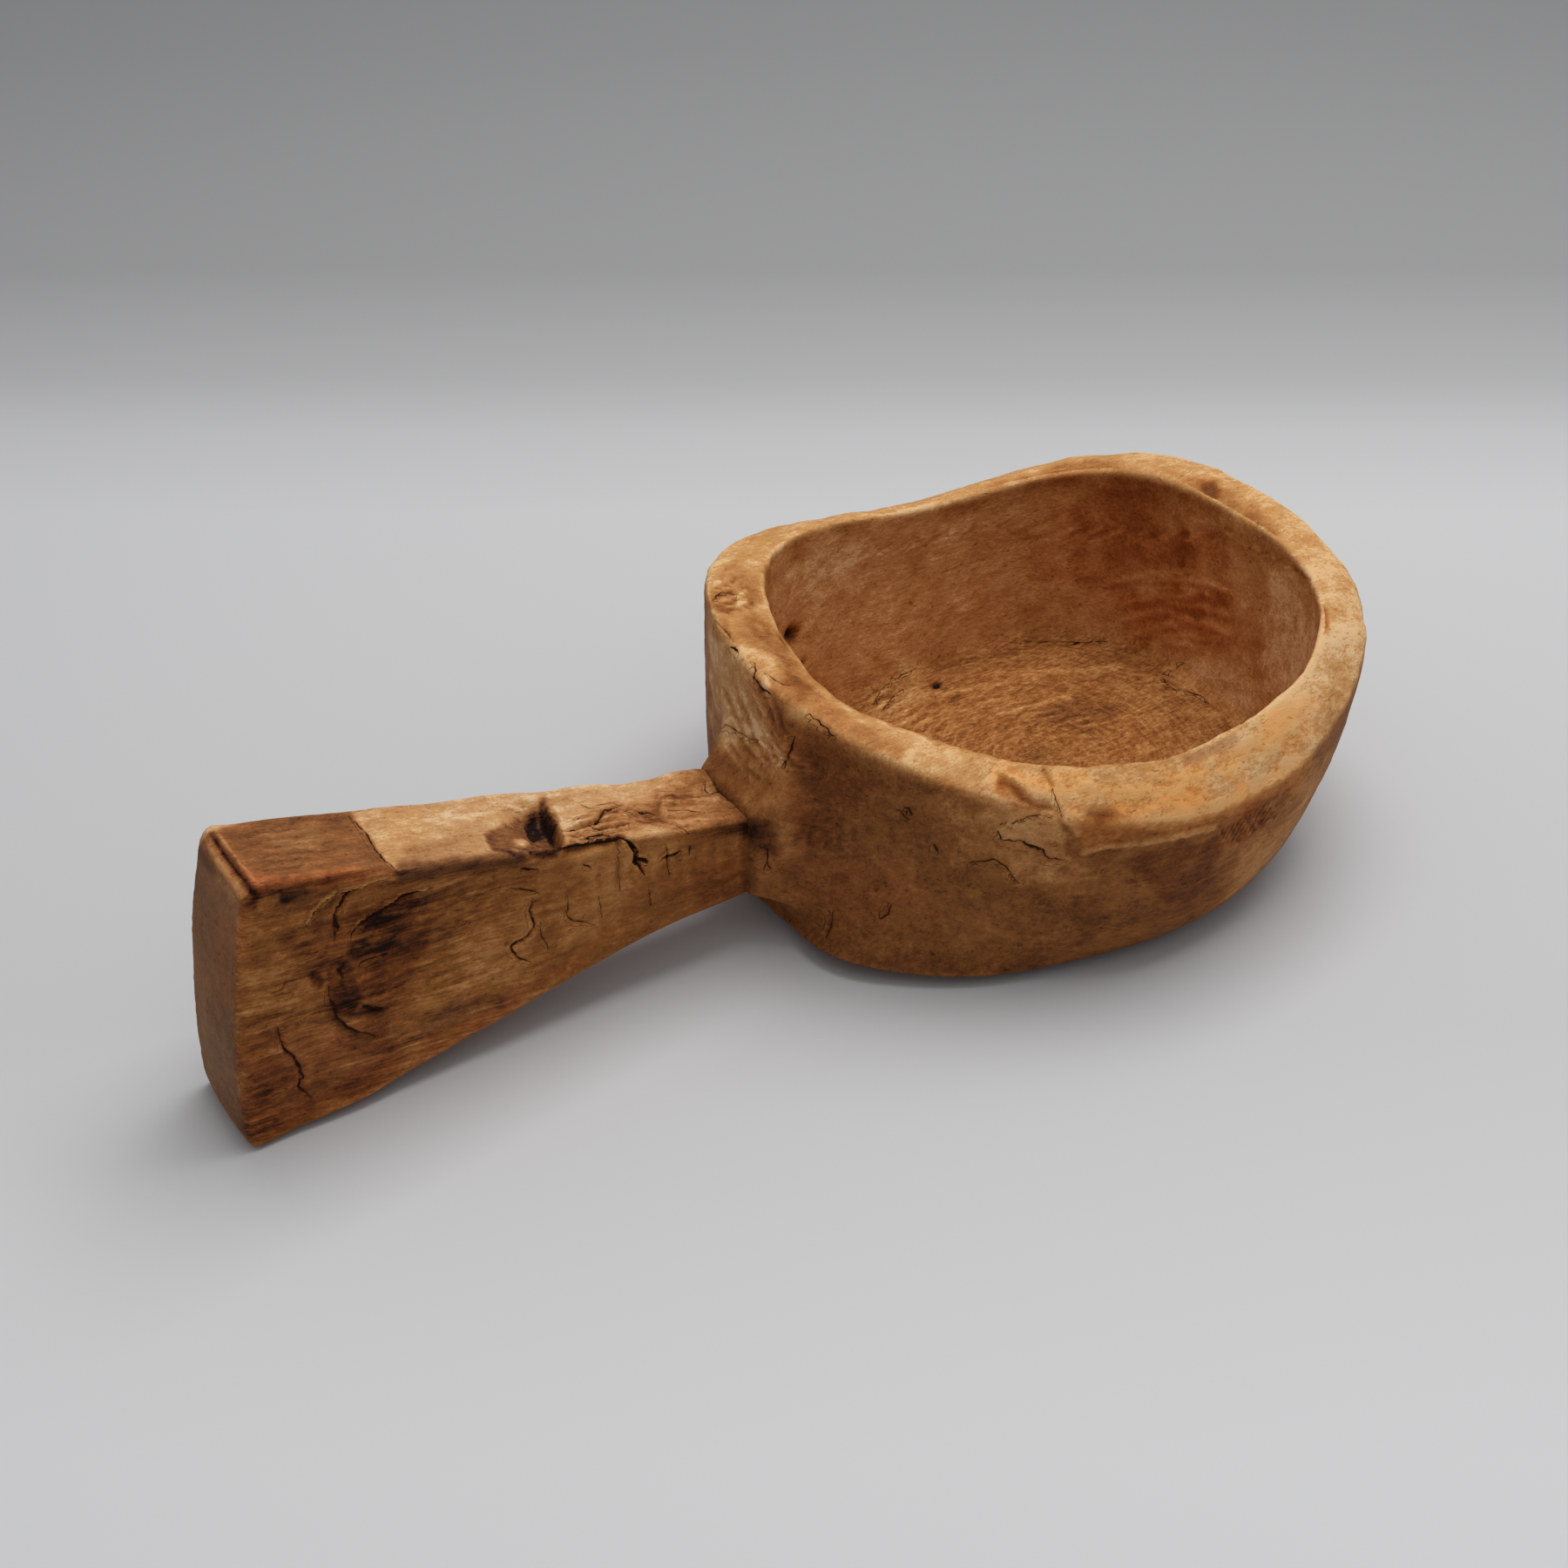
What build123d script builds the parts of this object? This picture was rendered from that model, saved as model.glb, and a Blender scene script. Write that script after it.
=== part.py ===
"""A hand-carved wooden dipper: a thick-walled oval bowl and a flaring handle wedged into its wall."""
import os
from math import cos, pi, sin

from build123d import *

os.makedirs("parts", exist_ok=True)

# Frame: origin on the flat base of the bowl, +X away from the handle, -Y the near side, +Z up.
# Lengths are in millimetres. Angles of the outlines are in radians, from the front over the far side.

# Rim outline: reach from the origin to each side, and how square each quarter is
rim_front = 98.0
rim_back = 84.0
rim_near = 81.0
rim_far = 75.0
front_far_square = 3.4
back_far_square = 2.4
back_near_square = 1.65
front_near_square = 2.4

# Base outline: the flat that the dipper stands on
base_front = 60.0
base_back = 82.0
base_near = 63.0
base_far = 64.0
base_square = 2.5

# Rim: mean height of its inner edge, then how far that edge is raised on the far side, at both ends, at the
# back far and front near corners, and at three points round it, and lowered as much between them
crest_height = 70.0
crest_tilt = 4.3
crest_saddle = 2.8
crest_twist = 2.9
crest_hook = 1.6

# Bevel: how far the outer edge of the rim lies below its inner edge, and how much more on the near side,
# at the front and on both sides
bevel_drop = 4.0
bevel_near = 4.0
bevel_front = 2.9
bevel_sides = 5.8

# Belly of the outer wall: exponents of its rise at the front and the back, and of its rounding
belly_rise_front = 1.6
belly_rise_back = 4.6
belly_round = 2.5

# Hollow: mean wall thickness at the rim, how much more on the far side, at the back and at both ends, then
# the floor, and how far the hollow draws in from its mouth to its floor
wall_thickness = 14.5
wall_far = 2.1
wall_back = 0.8
wall_ends = 3.2
floor_thickness = 16.0
hollow_draw = 7.0
hollow_corner = 9.0

# Neck: where the shoulder of the handle butts against a swelling of the back wall
neck_swell = 11.0
flare_sides = 12.0
flare_top = 22.0
flare_under = 12.0
flare_power = 2.4
neck_width = 25.5
neck_top = 43.0
neck_under = 19.0

# Handle: a bar that grows taller and a little wider towards its end
handle_length = 134.0
end_width = 29.0
end_top = 76.0
end_drift = 2.0
end_tilt = 13.0
end_crown = 5.0
under_level = 24.0
handle_round = 3.5

# Blind tenon, split at its tip and spread by a wedge inside the wall
tenon_length = 22.0
tenon_width = 13.0
tenon_height = 13.0
tenon_spread = 3.0
kerf = 1.5
wedge_length = 16.0
joint_clearance = 0.1

# Worked out from the sizes above
seat_x = -(rim_back + neck_swell)
neck_height = neck_top - neck_under
neck_middle = (neck_top + neck_under) / 2
rim_reach = (rim_front, rim_back, rim_near, rim_far)
base_reach = (base_front, base_back, base_near, base_far)
rim_squares = (front_far_square, back_far_square, back_near_square, front_near_square)
base_squares = (base_square,) * 4
sky = crest_height + crest_tilt + crest_saddle + crest_twist + crest_hook + bevel_sides
outline_points = 24
rim_overrun = 1.6


def superellipse(reach, squares, angle):
    """Polar radius of an outline with its own reach to each side and its own squareness in each quarter."""
    front, back, near, far = reach
    front_far, back_far, back_near, front_near = squares
    along, across = cos(angle), sin(angle)
    if along >= 0:
        square = front_far if across >= 0 else front_near
    else:
        square = back_far if across >= 0 else back_near
    share_along = abs(along) / (front if along >= 0 else back)
    share_across = abs(across) / (far if across >= 0 else near)
    return (share_along**square + share_across**square) ** (-1 / square)


def outer_radius(angle, height):
    """Outer wall: out from the base outline, quickly at first and then steeply up to the rim outline.
    Below the base the wall is carried on inwards at the same slope."""
    share = min(abs(height) / crest_height, 1.0)
    front_share = (1 + cos(angle)) / 2
    belly_rise = belly_rise_front * front_share + belly_rise_back * (1 - front_share)
    grown = (1 - (1 - share) ** belly_rise) ** (1 / belly_round)
    base = superellipse(base_reach, base_squares, angle)
    step = (superellipse(rim_reach, rim_squares, angle) - base) * grown
    return base + step if height >= 0 else base - step


def crest(angle):
    """Height of the rim's inner edge."""
    swing = crest_tilt * sin(angle) + crest_saddle * cos(2 * angle)
    return crest_height + swing - crest_twist * sin(2 * angle) + crest_hook * cos(3 * angle)


def bevel(angle):
    """How far the rim's outer edge lies below its inner edge."""
    return bevel_drop - bevel_near * sin(angle) + bevel_front * cos(angle) - bevel_sides * cos(2 * angle)


def wall(angle):
    """Thickness of the wall at the rim."""
    return wall_thickness + wall_far * sin(angle) - wall_back * cos(angle) + wall_ends * cos(2 * angle)


def mouth_radius(angle):
    return superellipse(rim_reach, rim_squares, angle) - wall(angle)


def clear_radius(angle):
    """Outside the bowl, where the slope of the rim is carried on past its outer edge."""
    return mouth_radius(angle) + rim_overrun * wall(angle)


def clear_height(angle):
    return crest(angle) - rim_overrun * bevel(angle)


def loop(radius_at, height_at):
    """Closed smooth line through evenly turned points of a radius and a height given by the angle."""
    points = []
    for step in range(outline_points):
        angle = 2 * pi * step / outline_points
        points.append((radius_at(angle) * cos(angle), radius_at(angle) * sin(angle), height_at(angle)))
    with BuildLine() as line:
        Spline(*points, periodic=True)
    return line.wire()


def outer_ring(height):
    return loop(lambda angle: outer_radius(angle, height), lambda angle: height)


def tenon_plan(clearance):
    """Plan of the tenon from the seat to its tip, where the wedge spreads it, grown by a clearance."""
    root = tenon_width / 2 + clearance
    tip = (tenon_width + tenon_spread) / 2 + clearance
    end = seat_x + tenon_length + clearance
    return [(seat_x, -root), (end, -tip), (end, tip), (seat_x, root)]


def wedge_plan():
    """Plan of the wedge: as wide as the kerf at its thin end, and wider by the spread at the tenon's tip."""
    tip = seat_x + tenon_length
    thin, thick = kerf / 2, (kerf + tenon_spread) / 2
    return [(tip - wedge_length, -thin), (tip, -thick), (tip, thick), (tip - wedge_length, thin)]


# Waste: all that is cut away above the rim and out of the hollow, from a ring over the bowl to the floor
with BuildPart() as waste:
    top_line = loop(clear_radius, lambda angle: 2 * sky)
    outer_line = loop(clear_radius, clear_height)
    inner_line = loop(mouth_radius, crest)
    floor_line = loop(lambda angle: mouth_radius(angle) - hollow_draw, lambda angle: floor_thickness)
    add(Solid.make_loft([top_line, outer_line, inner_line, floor_line], ruled=True))
    fillet(waste.edges().group_by(Axis.Z)[0], hollow_corner)

# Bowl
wall_shares = [-0.04, 0, 0.04, 0.14, 0.35, 0.65, 1]
outer_heights = [share * crest_height for share in wall_shares] + [sky]
neck_shares = [0, 0.4, 0.8, 1.2]

with BuildPart() as bowl:
    add(Solid.make_loft([outer_ring(height) for height in outer_heights]))
    split(bisect_by=Plane.XY, keep=Keep.TOP)
    # Swelling of the back wall that carries the neck: its flare grows ever faster from the seat to the wall
    for share in neck_shares:
        grown = 1 - max(1 - share, 0) ** (1 / flare_power)
        lift = (flare_top - flare_under) * grown / 2
        with BuildSketch(Plane.YZ.offset(seat_x + share * neck_swell)):
            with Locations((0, neck_middle + lift)):
                RectangleRounded(
                    neck_width + 2 * flare_sides * grown,
                    neck_height + (flare_top + flare_under) * grown,
                    handle_round + flare_under * grown,
                )
    loft()
    add(waste.part, mode=Mode.SUBTRACT)
    # Mortise in the back wall
    with BuildSketch(Plane.XY.offset(neck_middle)):
        with BuildLine():
            Polyline(*tenon_plan(joint_clearance), close=True)
        make_face()
    extrude(amount=tenon_height / 2 + joint_clearance, both=True, mode=Mode.SUBTRACT)

bowl.part.label = "bowl"
export_step(bowl.part, "parts/bowl.step")

# Handle
end_brow = (seat_x - handle_length, end_top)
end_foot = (seat_x - handle_length - end_tilt, 0)
end_x = seat_x - handle_length - end_tilt - end_crown
with BuildPart() as handle:
    # Side outline: straight top, crowned end, and an underside that runs level out of the neck
    with BuildSketch(Plane.XZ):
        with BuildLine():
            Line((seat_x, neck_top), end_brow)
            SagittaArc(end_brow, end_foot, -end_crown)
            Spline(
                end_foot,
                (seat_x - under_level, neck_under),
                (seat_x, neck_under),
                tangents=[(handle_length, neck_under), (1, 0)],
            )
            Line((seat_x, neck_under), (seat_x, neck_top))
        make_face()
    extrude(amount=end_width, both=True)
    # Plan outline: a slow taper that drifts to the far side
    with BuildSketch(Plane.XY):
        with BuildLine():
            Polyline(
                (seat_x, -neck_width / 2),
                (seat_x, neck_width / 2),
                (end_x, end_drift + end_width / 2),
                (end_x, end_drift - end_width / 2),
                close=True,
            )
        make_face()
    extrude(amount=2 * end_top, both=True, mode=Mode.INTERSECT)
    shoulder_edges = handle.edges().group_by(Axis.X)[-1]
    fillet(handle.edges() - shoulder_edges, handle_round)
    # Tenon with the slot that the wedge spreads
    with BuildSketch(Plane.XY.offset(neck_middle)):
        with BuildLine():
            Polyline(*tenon_plan(0), close=True)
        make_face()
    extrude(amount=tenon_height / 2, both=True)
    with BuildSketch(Plane.XY.offset(neck_middle)):
        with BuildLine():
            Polyline(*wedge_plan(), close=True)
        make_face()
    extrude(amount=tenon_height / 2, both=True, mode=Mode.SUBTRACT)

handle.part.label = "handle"
export_step(handle.part, "parts/handle.step")

# Wedge in the slot of the tenon
with BuildPart() as tenon_wedge:
    with BuildSketch(Plane.XY.offset(neck_middle)):
        with BuildLine():
            Polyline(*wedge_plan(), close=True)
        make_face()
    extrude(amount=tenon_height / 2, both=True)

tenon_wedge.part.label = "tenon_wedge"
export_step(tenon_wedge.part, "parts/tenon_wedge.step")
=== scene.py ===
from math import cos, pi, radians, sin, tau

import bpy
import numpy as np
from mathutils import Matrix


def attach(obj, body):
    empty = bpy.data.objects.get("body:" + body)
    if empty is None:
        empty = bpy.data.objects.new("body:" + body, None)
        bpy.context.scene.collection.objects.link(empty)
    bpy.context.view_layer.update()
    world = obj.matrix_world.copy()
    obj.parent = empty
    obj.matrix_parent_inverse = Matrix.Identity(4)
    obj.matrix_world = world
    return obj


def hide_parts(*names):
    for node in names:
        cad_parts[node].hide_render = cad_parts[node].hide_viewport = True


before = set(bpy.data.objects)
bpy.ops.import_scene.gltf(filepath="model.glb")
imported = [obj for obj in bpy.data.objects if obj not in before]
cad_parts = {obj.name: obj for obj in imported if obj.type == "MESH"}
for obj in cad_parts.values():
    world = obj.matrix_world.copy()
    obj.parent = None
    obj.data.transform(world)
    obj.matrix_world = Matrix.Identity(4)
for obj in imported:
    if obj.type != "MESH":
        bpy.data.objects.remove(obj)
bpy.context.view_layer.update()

# A hand-carved wooden dipper. Lengths are in millimetres until a mesh is made, in the frame of the part:
# origin on the flat base of the bowl, +X away from the handle, -Y the near side, +Z up.
MM = 0.001
tiny = 1e-9

# Camera: the viewing angle of the photograph, a square image of 1800 pixels
photo_side = 1800.0
focal_pixels = 2600.0
sensor_width = 36.0
view_azimuth = radians(-32.5)
view_elevation = radians(35.3)
view_distance = 622.0
view_target = np.array([-70.7, 7.9, 33.0])
view_ahead = np.array([-sin(view_azimuth), cos(view_azimuth), 0.0])
view_right = np.array([cos(view_azimuth), sin(view_azimuth), 0.0])
view_back = np.array([0.0, 0.0, sin(view_elevation)]) - view_ahead * cos(view_elevation)
view_up = np.cross(view_back, view_right)
view_place = view_target + view_distance * view_back

# Bowl: reach of its outlines to the front, back, near and far side, and how square each quarter is
rim_reach = (98.8, 83.2, 81.5, 76.0)
rim_squares = (3.4, 2.5, 1.65, 2.4)
base_reach = (58.4, 84.1, 67.3, 64.0)
base_squares = (2.5, 2.5, 2.9, 2.05)

# Bowl: values that swing round the rim, as a mean and then cosine and sine shares of one, two and three waves
crest_height = (69.9, (0.1, 4.3), (2.8, -2.9), (1.6, 0.6))
ridge_drop = (4.0, (2.9, -4.0), (-5.8, -1.1), (-0.4, 0.0))
wall_thickness = (14.0, (-0.1, 2.1), (2.5, 0.0))
base_lift = (2.9, (-0.2, -0.6))
belly_rise = (3.35, (-2.0, 0.0))

# Bowl: bumps round the rim, each with its rise, its middle and its spread
wall_swells = (
    (1.4, radians(155), radians(17)),
    (-1.3, radians(192), radians(9)),
    (1.6, radians(212), radians(9)),
    (1.2, radians(272), radians(24)),
)
base_swells = ((5.0, radians(201), radians(12)),)
lift_swells = ((2.5, radians(199), radians(16)),)

# Bowl: rounding of the belly, crown of the rim, draw and barrel of the hollow, and its floor. The base rises
# to its lifted edge between two shares of its radius
belly_round = 2.55
rim_crown = 1.2
hollow_draw = 6.4
hollow_barrel = 1.5
floor_height = 16.7
floor_dish = 0.8
base_rest = (0.55, 0.8)

# Neck: the flare of the back wall round the handle's seat. Its edge stands a little proud and strays by a
# noise of a size, a seed and layers
seat_x = -95.0
neck_width = 25.6
neck_top = 43.5
neck_under = 18.8
neck_proud = 0.5
neck_stray = 0.7
neck_noise = (8.0, 51, 2)
flare_near, flare_far, flare_top, flare_under = 22.0, 12.0, 24.0, 14.0
flare_power = 2.4
flare_limit_x = -40.0

# Handle: heights of its top and underside at even steps from the seat to the end, and its end face
handle_length = 133.6
handle_sink = 1.5
handle_top = (43.4, 49.0, 56.2, 62.8, 69.8, 76.4)
handle_under = (18.4, 18.2, 13.0, 8.0, 2.8, 0.3)
handle_widths = (25.6, 26.6, 27.4, 27.9, 28.4, 29.0)
handle_drift = 1.8
handle_corner = 1.9
foot_flare = 2.2
end_tilt = 10.5
end_crown = 3.0
end_crown_across = 0.75
end_round = 2.6
end_round_share = 0.9

# Noise is read from a cube of random values with this many to a side
lattice_side = 32


def photo_pixels(points):
    """Pixel of each point: its offset from the target along right and up, over its depth along the view."""
    offset = points - view_target
    depth = view_distance - offset @ view_back
    across = photo_side / 2 + focal_pixels * (offset @ view_right) / depth
    down = photo_side / 2 - focal_pixels * (offset @ view_up) / depth
    return np.stack([across, down], axis=-1)


def ease(value, low, high):
    """0 below low, 1 above high, and a smooth S between them."""
    share = np.clip((value - low) / (high - low), 0.0, 1.0)
    return share * share * (3 - 2 * share)


def arch(share):
    """0 at both ends, 1 in the middle, and a parabola between them."""
    return 4 * share * (1 - share)


def lattice_noise(points, size, seed):
    """Smooth noise from -1 to 1: random values at the corners of cubes of a size, blended inside each."""
    table = np.random.default_rng(seed).uniform(-1, 1, (lattice_side,) * 3)
    cell = points / size
    low = np.floor(cell).astype(int)
    share = ease(cell - low, 0.0, 1.0)
    total = np.zeros(points.shape[:-1])
    for corner in np.ndindex(2, 2, 2):
        index = (low + corner) % lattice_side
        weight = np.prod(np.where(corner, share, 1 - share), axis=-1)
        total += weight * table[index[..., 0], index[..., 1], index[..., 2]]
    return total


def layered_noise(points, size, seed, layers=3):
    """Sum of noises, each of half the size and half the strength of the one before."""
    return sum(lattice_noise(points, size / 2**layer, seed + layer) / 2**layer for layer in range(layers))


def gouge_scallops(points, spacing, seed):
    """Scallops from 0 at a cut's middle to about 1 at its edges: squared distance to the nearest of
    seeds that are jittered one to a cell of the spacing."""
    jitter = np.random.default_rng(seed).random((lattice_side,) * 3 + (3,))
    cell = points / np.array(spacing)
    low = np.floor(cell).astype(int)
    nearest = np.ones(points.shape[:-1])
    for step in np.ndindex(3, 3, 3):
        index = low + np.array(step) - 1
        wrapped = index % lattice_side
        seeds = index + jitter[wrapped[..., 0], wrapped[..., 1], wrapped[..., 2]]
        nearest = np.minimum(nearest, ((cell - seeds) ** 2).sum(axis=-1))
    return nearest


def waves(angle, mean, *pairs):
    """Mean plus, for the n-th pair, its cosine and sine shares of n waves round the rim."""
    total = np.full_like(angle, mean)
    for count, (along, across) in enumerate(pairs, start=1):
        total += along * np.cos(count * angle) + across * np.sin(count * angle)
    return total


def swells(angle, bumps):
    """Sum of smooth bumps round the rim: each falls off by the square of its angle over its spread."""
    total = np.zeros_like(angle)
    for rise, middle, spread in bumps:
        total += rise * np.exp(-((((angle - middle + pi) % tau - pi) / spread) ** 2))
    return total


def outline(reach, squares, angle):
    """Polar radius of a rounded outline: a superellipse with its own reach to each side and its own
    squareness in each quarter."""
    front, back, near, far = reach
    front_far, back_far, back_near, front_near = squares
    along, across = np.cos(angle), np.sin(angle)
    front_square = np.where(across >= 0, front_far, front_near)
    back_square = np.where(across >= 0, back_far, back_near)
    square = np.where(along >= 0, front_square, back_square)
    share_along = np.abs(along) / np.where(along >= 0, front, back)
    share_across = np.abs(across) / np.where(across >= 0, far, near)
    return (share_along**square + share_across**square) ** (-1 / square)


def soften(rows, passes):
    """Rounds corners along the rows: each pass moves a row half of the way to the mean of its neighbours."""
    rows = rows.copy()
    for _ in range(passes):
        rows[1:-1] = (rows[:-2] + 2 * rows[1:-1] + rows[2:]) / 4
    return rows


def grid_normals(points):
    """Outward unit normals: column step across row step, with the columns closed round."""
    column_step = np.roll(points, -1, axis=1) - np.roll(points, 1, axis=1)
    row_step = np.gradient(points, axis=0)
    normals = np.cross(column_step, row_step)
    return normals / np.maximum(np.linalg.norm(normals, axis=-1, keepdims=True), tiny)


class Skin:
    """A closed surface as a grid of points: rows run from pole to pole and columns run round. It gathers a
    height to add along its normals, and values for its finish at each point."""

    finish_labels = ("tone", "warm", "grey", "fuzz", "grain", "crack", "crack_near")
    # Ragged edges: size and seed of their noise. Marks fade where the surface turns from the camera
    rough_size, rough_seed = 7.0, 31
    turn_fade = 6.0
    least_facing = 0.03
    # Lines laid from pixels: their step and the room for candidates, in pixels, and how evenly these blend
    trail_step = 4.0
    trail_room = 40.0
    trail_evenness = 0.3
    # Splits: their reach, the share of the run that tapers, the least values of taper, groove and width, how
    # far from the line the finish draws it, and the value where there is none
    split_reach = 3.0
    split_taper = 0.35
    least_taper = 0.3
    least_taper_run = 0.5
    least_groove = 0.7
    least_half_width = 0.05
    split_halo = (-2.4, -1.2)
    split_overrun = -0.2
    no_crack = 9.0
    # Ledges and folds: run of a cliff, how far its painted shade leads, and the share of a line that fades at
    # an end
    cliff_run = 0.9
    cliff_lead = 0.6
    fade_share = 0.3
    # Stains: room round the polygon, in pixels, and how far the surface may turn from the camera
    stain_room = 8
    least_stain_facing = 0.02
    # Tool marks: how unevenly they are set out, the range of their runs and how they stray, in pixels
    stroke_jitter = 0.3
    stroke_runs = (0.5, 1.2)
    stroke_stray = 0.8
    # Checks on the hidden sides: ranges of length, half width and depth, points, heading and straying
    check_lengths = (6, 22)
    check_half_widths = (0.2, 0.4)
    check_depths = (0.3, 0.8)
    check_points = 7
    check_heading = np.array([0.9, 0.1, 0.3])
    check_stray = 0.5
    # Blotches on the hidden sides
    blotch_tone = 0.16
    hidden_facing = -0.05
    # Wear: steps over which a point is compared with its neighbours, each with its share, and its limits
    wear_steps = ((2, 0.14), (5, 0.10))
    wear_limits = (-0.6, 0.5)

    def __init__(self, points, zones, seed):
        self.points = points
        self.zones = zones
        self.normals = grid_normals(points)
        self.pixels = photo_pixels(points)
        toward = view_place - points
        toward /= np.linalg.norm(toward, axis=-1, keepdims=True)
        self.facing = (self.normals * toward).sum(axis=-1)
        self.fade = np.clip(self.facing * self.turn_fade, 0, 1)
        self.rng = np.random.default_rng(seed)
        for label in ("height", *self.finish_labels):
            setattr(self, label, np.zeros(points.shape[:2]))
        self.crack += self.no_crack
        self.rough = layered_noise(points, self.rough_size, self.rough_seed)

    def carve(self, noises):
        """Adds noises to the height. Each has its zone, its rise, a stretch of the grid, its size, seed and
        layers."""
        for zone, rise, stretch, *noise in noises:
            self.height += rise * layered_noise(self.points * np.array(stretch), *noise) * self.zones[zone]

    def mark(self, share, rise=0.0, **change):
        """Adds height, and tone, warmth, greyness, raised fibres or grain, by a share at each point."""
        self.height += rise * share
        for label, amount in change.items():
            values = getattr(self, label)
            values += amount * share

    def trail(self, pixels, zone, stray):
        """Line on the surface under a line of pixels, in even steps that stray a little to the sides. Each
        step lies at the mean of the four grid points that show nearest to it, the nearer the heavier."""
        corners = np.array(pixels, float)
        lengths = np.linalg.norm(np.diff(corners, axis=0), axis=1)
        stations = np.concatenate([[0], np.cumsum(lengths)])
        even = np.linspace(0, stations[-1], max(int(stations[-1] / self.trail_step), 2) + 1)
        path = np.stack([np.interp(even, stations, corners[:, axis]) for axis in (0, 1)], axis=1)
        path[1:-1] += self.rng.normal(0, stray, path[1:-1].shape)
        low, high = path.min(axis=0), path.max(axis=0)
        around = np.abs(self.pixels - (low + high) / 2)
        close = np.all(around < (high - low) / 2 + self.trail_room, axis=-1)
        shown = (self.zones[zone] > 0.5) & (self.facing > self.least_facing)
        candidates = np.flatnonzero(shown & close)
        gaps = ((self.pixels.reshape(-1, 2)[candidates][None] - path[:, None]) ** 2).sum(axis=-1)
        nearest = np.argpartition(gaps, 3, axis=1)[:, :4]
        weight = 1 / (np.take_along_axis(gaps, nearest, axis=1) + self.trail_evenness)
        places = self.points.reshape(-1, 3)[candidates[nearest]]
        return (places * weight[..., None]).sum(axis=1) / weight.sum(axis=1)[:, None]

    def beside(self, line, reach):
        """For the points within reach of a line: their flat indices, their distance from it, positive to the
        left of its run as seen from outside, how far they lie from its nearer end, and its length."""
        flat = self.points.reshape(-1, 3)
        inside = np.all((flat > line.min(axis=0) - reach) & (flat < line.max(axis=0) + reach), axis=1)
        index = np.flatnonzero(inside)
        places, normals = flat[index], self.normals.reshape(-1, 3)[index]
        nearest = np.full(len(index), np.inf)
        side = np.ones(len(index))
        along = np.zeros(len(index))
        past = np.zeros(len(index))
        run = 0.0
        for number, (start, stop) in enumerate(zip(line[:-1], line[1:])):
            step = stop - start
            length = max(np.linalg.norm(step), tiny)
            raw = (places - start) @ step / length**2
            share = np.clip(raw, 0, 1)
            offset = places - start - share[:, None] * step
            gap = np.linalg.norm(offset, axis=1)
            closer = gap < nearest
            over = np.zeros(len(index))
            if number == 0:
                over = np.maximum(over, -raw * length)
            if number == len(line) - 2:
                over = np.maximum(over, (raw - 1) * length)
            turn = (np.cross(step, offset) * normals).sum(axis=1)
            nearest = np.where(closer, gap, nearest)
            side = np.where(closer, np.where(turn >= 0, 1.0, -1.0), side)
            along = np.where(closer, run + share * length, along)
            past = np.where(closer, over, past)
            run += length
        end_gap = np.minimum(along, run - along) - past
        return index, nearest * side, end_gap, run

    def split(self, line, half_width, depth):
        """A crack: a groove whose sides slope to its depth, and a signed distance in half widths that lets
        the finish draw it finer than the grid."""
        index, gap, end_gap, run = self.beside(line, self.split_reach)
        taper = np.sqrt(np.clip(end_gap / max(self.split_taper * run, self.least_taper_run), 0.0, 1.0))
        groove = max(half_width, self.least_groove)
        self.height.reshape(-1)[index] -= depth * taper * np.clip(1 - np.abs(gap) / groove, 0, 1)
        near = ease(-np.abs(gap), *self.split_halo) * (end_gap > self.split_overrun)
        drawn = np.maximum(half_width * np.maximum(taper, self.least_taper), self.least_half_width)
        scaled = gap / drawn
        crack, crack_near = self.crack.reshape(-1), self.crack_near.reshape(-1)
        closer = (near > 0) & (np.abs(scaled) < np.abs(crack[index]))
        crack[index] = np.where(closer, scaled, crack[index])
        crack_near[index] = np.maximum(crack_near[index], near)

    def line_fade(self, end_gap, run, reach):
        """0 at both ends of a line and 1 along its middle."""
        return ease(end_gap, 0, min(reach, self.fade_share * run))

    def ledge(self, line, rise, reach, tone=0.0, shade=0.0):
        """A broken edge: the surface to the left of the line is raised or lowered over a short cliff, which
        has a painted shade of its own, and comes back over a reach."""
        index, gap, end_gap, run = self.beside(line, reach)
        fade = self.line_fade(end_gap, run, reach)
        inside = ease(gap, 0.0, self.cliff_run) * (1 - ease(gap, self.cliff_run, reach)) * fade
        cliff = ease(gap, -self.cliff_lead, 0.0) * (1 - ease(gap, self.cliff_run, 2 * self.cliff_run)) * fade
        self.height.reshape(-1)[index] += rise * inside
        self.tone.reshape(-1)[index] += tone * inside + shade * cliff

    def fold(self, line, rise, reach, tone=0.0):
        """A ridge or a valley along a line: a straight slope to each side over a reach."""
        index, gap, end_gap, run = self.beside(line, reach)
        inside = np.clip(1 - np.abs(gap) / reach, 0, 1) * self.line_fade(end_gap, run, reach)
        self.height.reshape(-1)[index] += rise * inside
        self.tone.reshape(-1)[index] += tone * inside

    def spot(self, zone, middle, radii, tilt=0.0, ragged=0.3, **change):
        """A change that is full in the middle of an ellipse of pixels and falls off round it, with a ragged
        edge."""
        offset = self.pixels - np.array(middle)
        turn = radians(tilt)
        along = (offset[..., 0] * cos(turn) + offset[..., 1] * sin(turn)) / radii[0]
        across = (offset[..., 1] * cos(turn) - offset[..., 0] * sin(turn)) / radii[1]
        far = (along**2 + across**2) * (1 + ragged * self.rough) ** 2
        self.mark(np.exp(-far) * self.zones[zone] * self.fade, **change)

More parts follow.
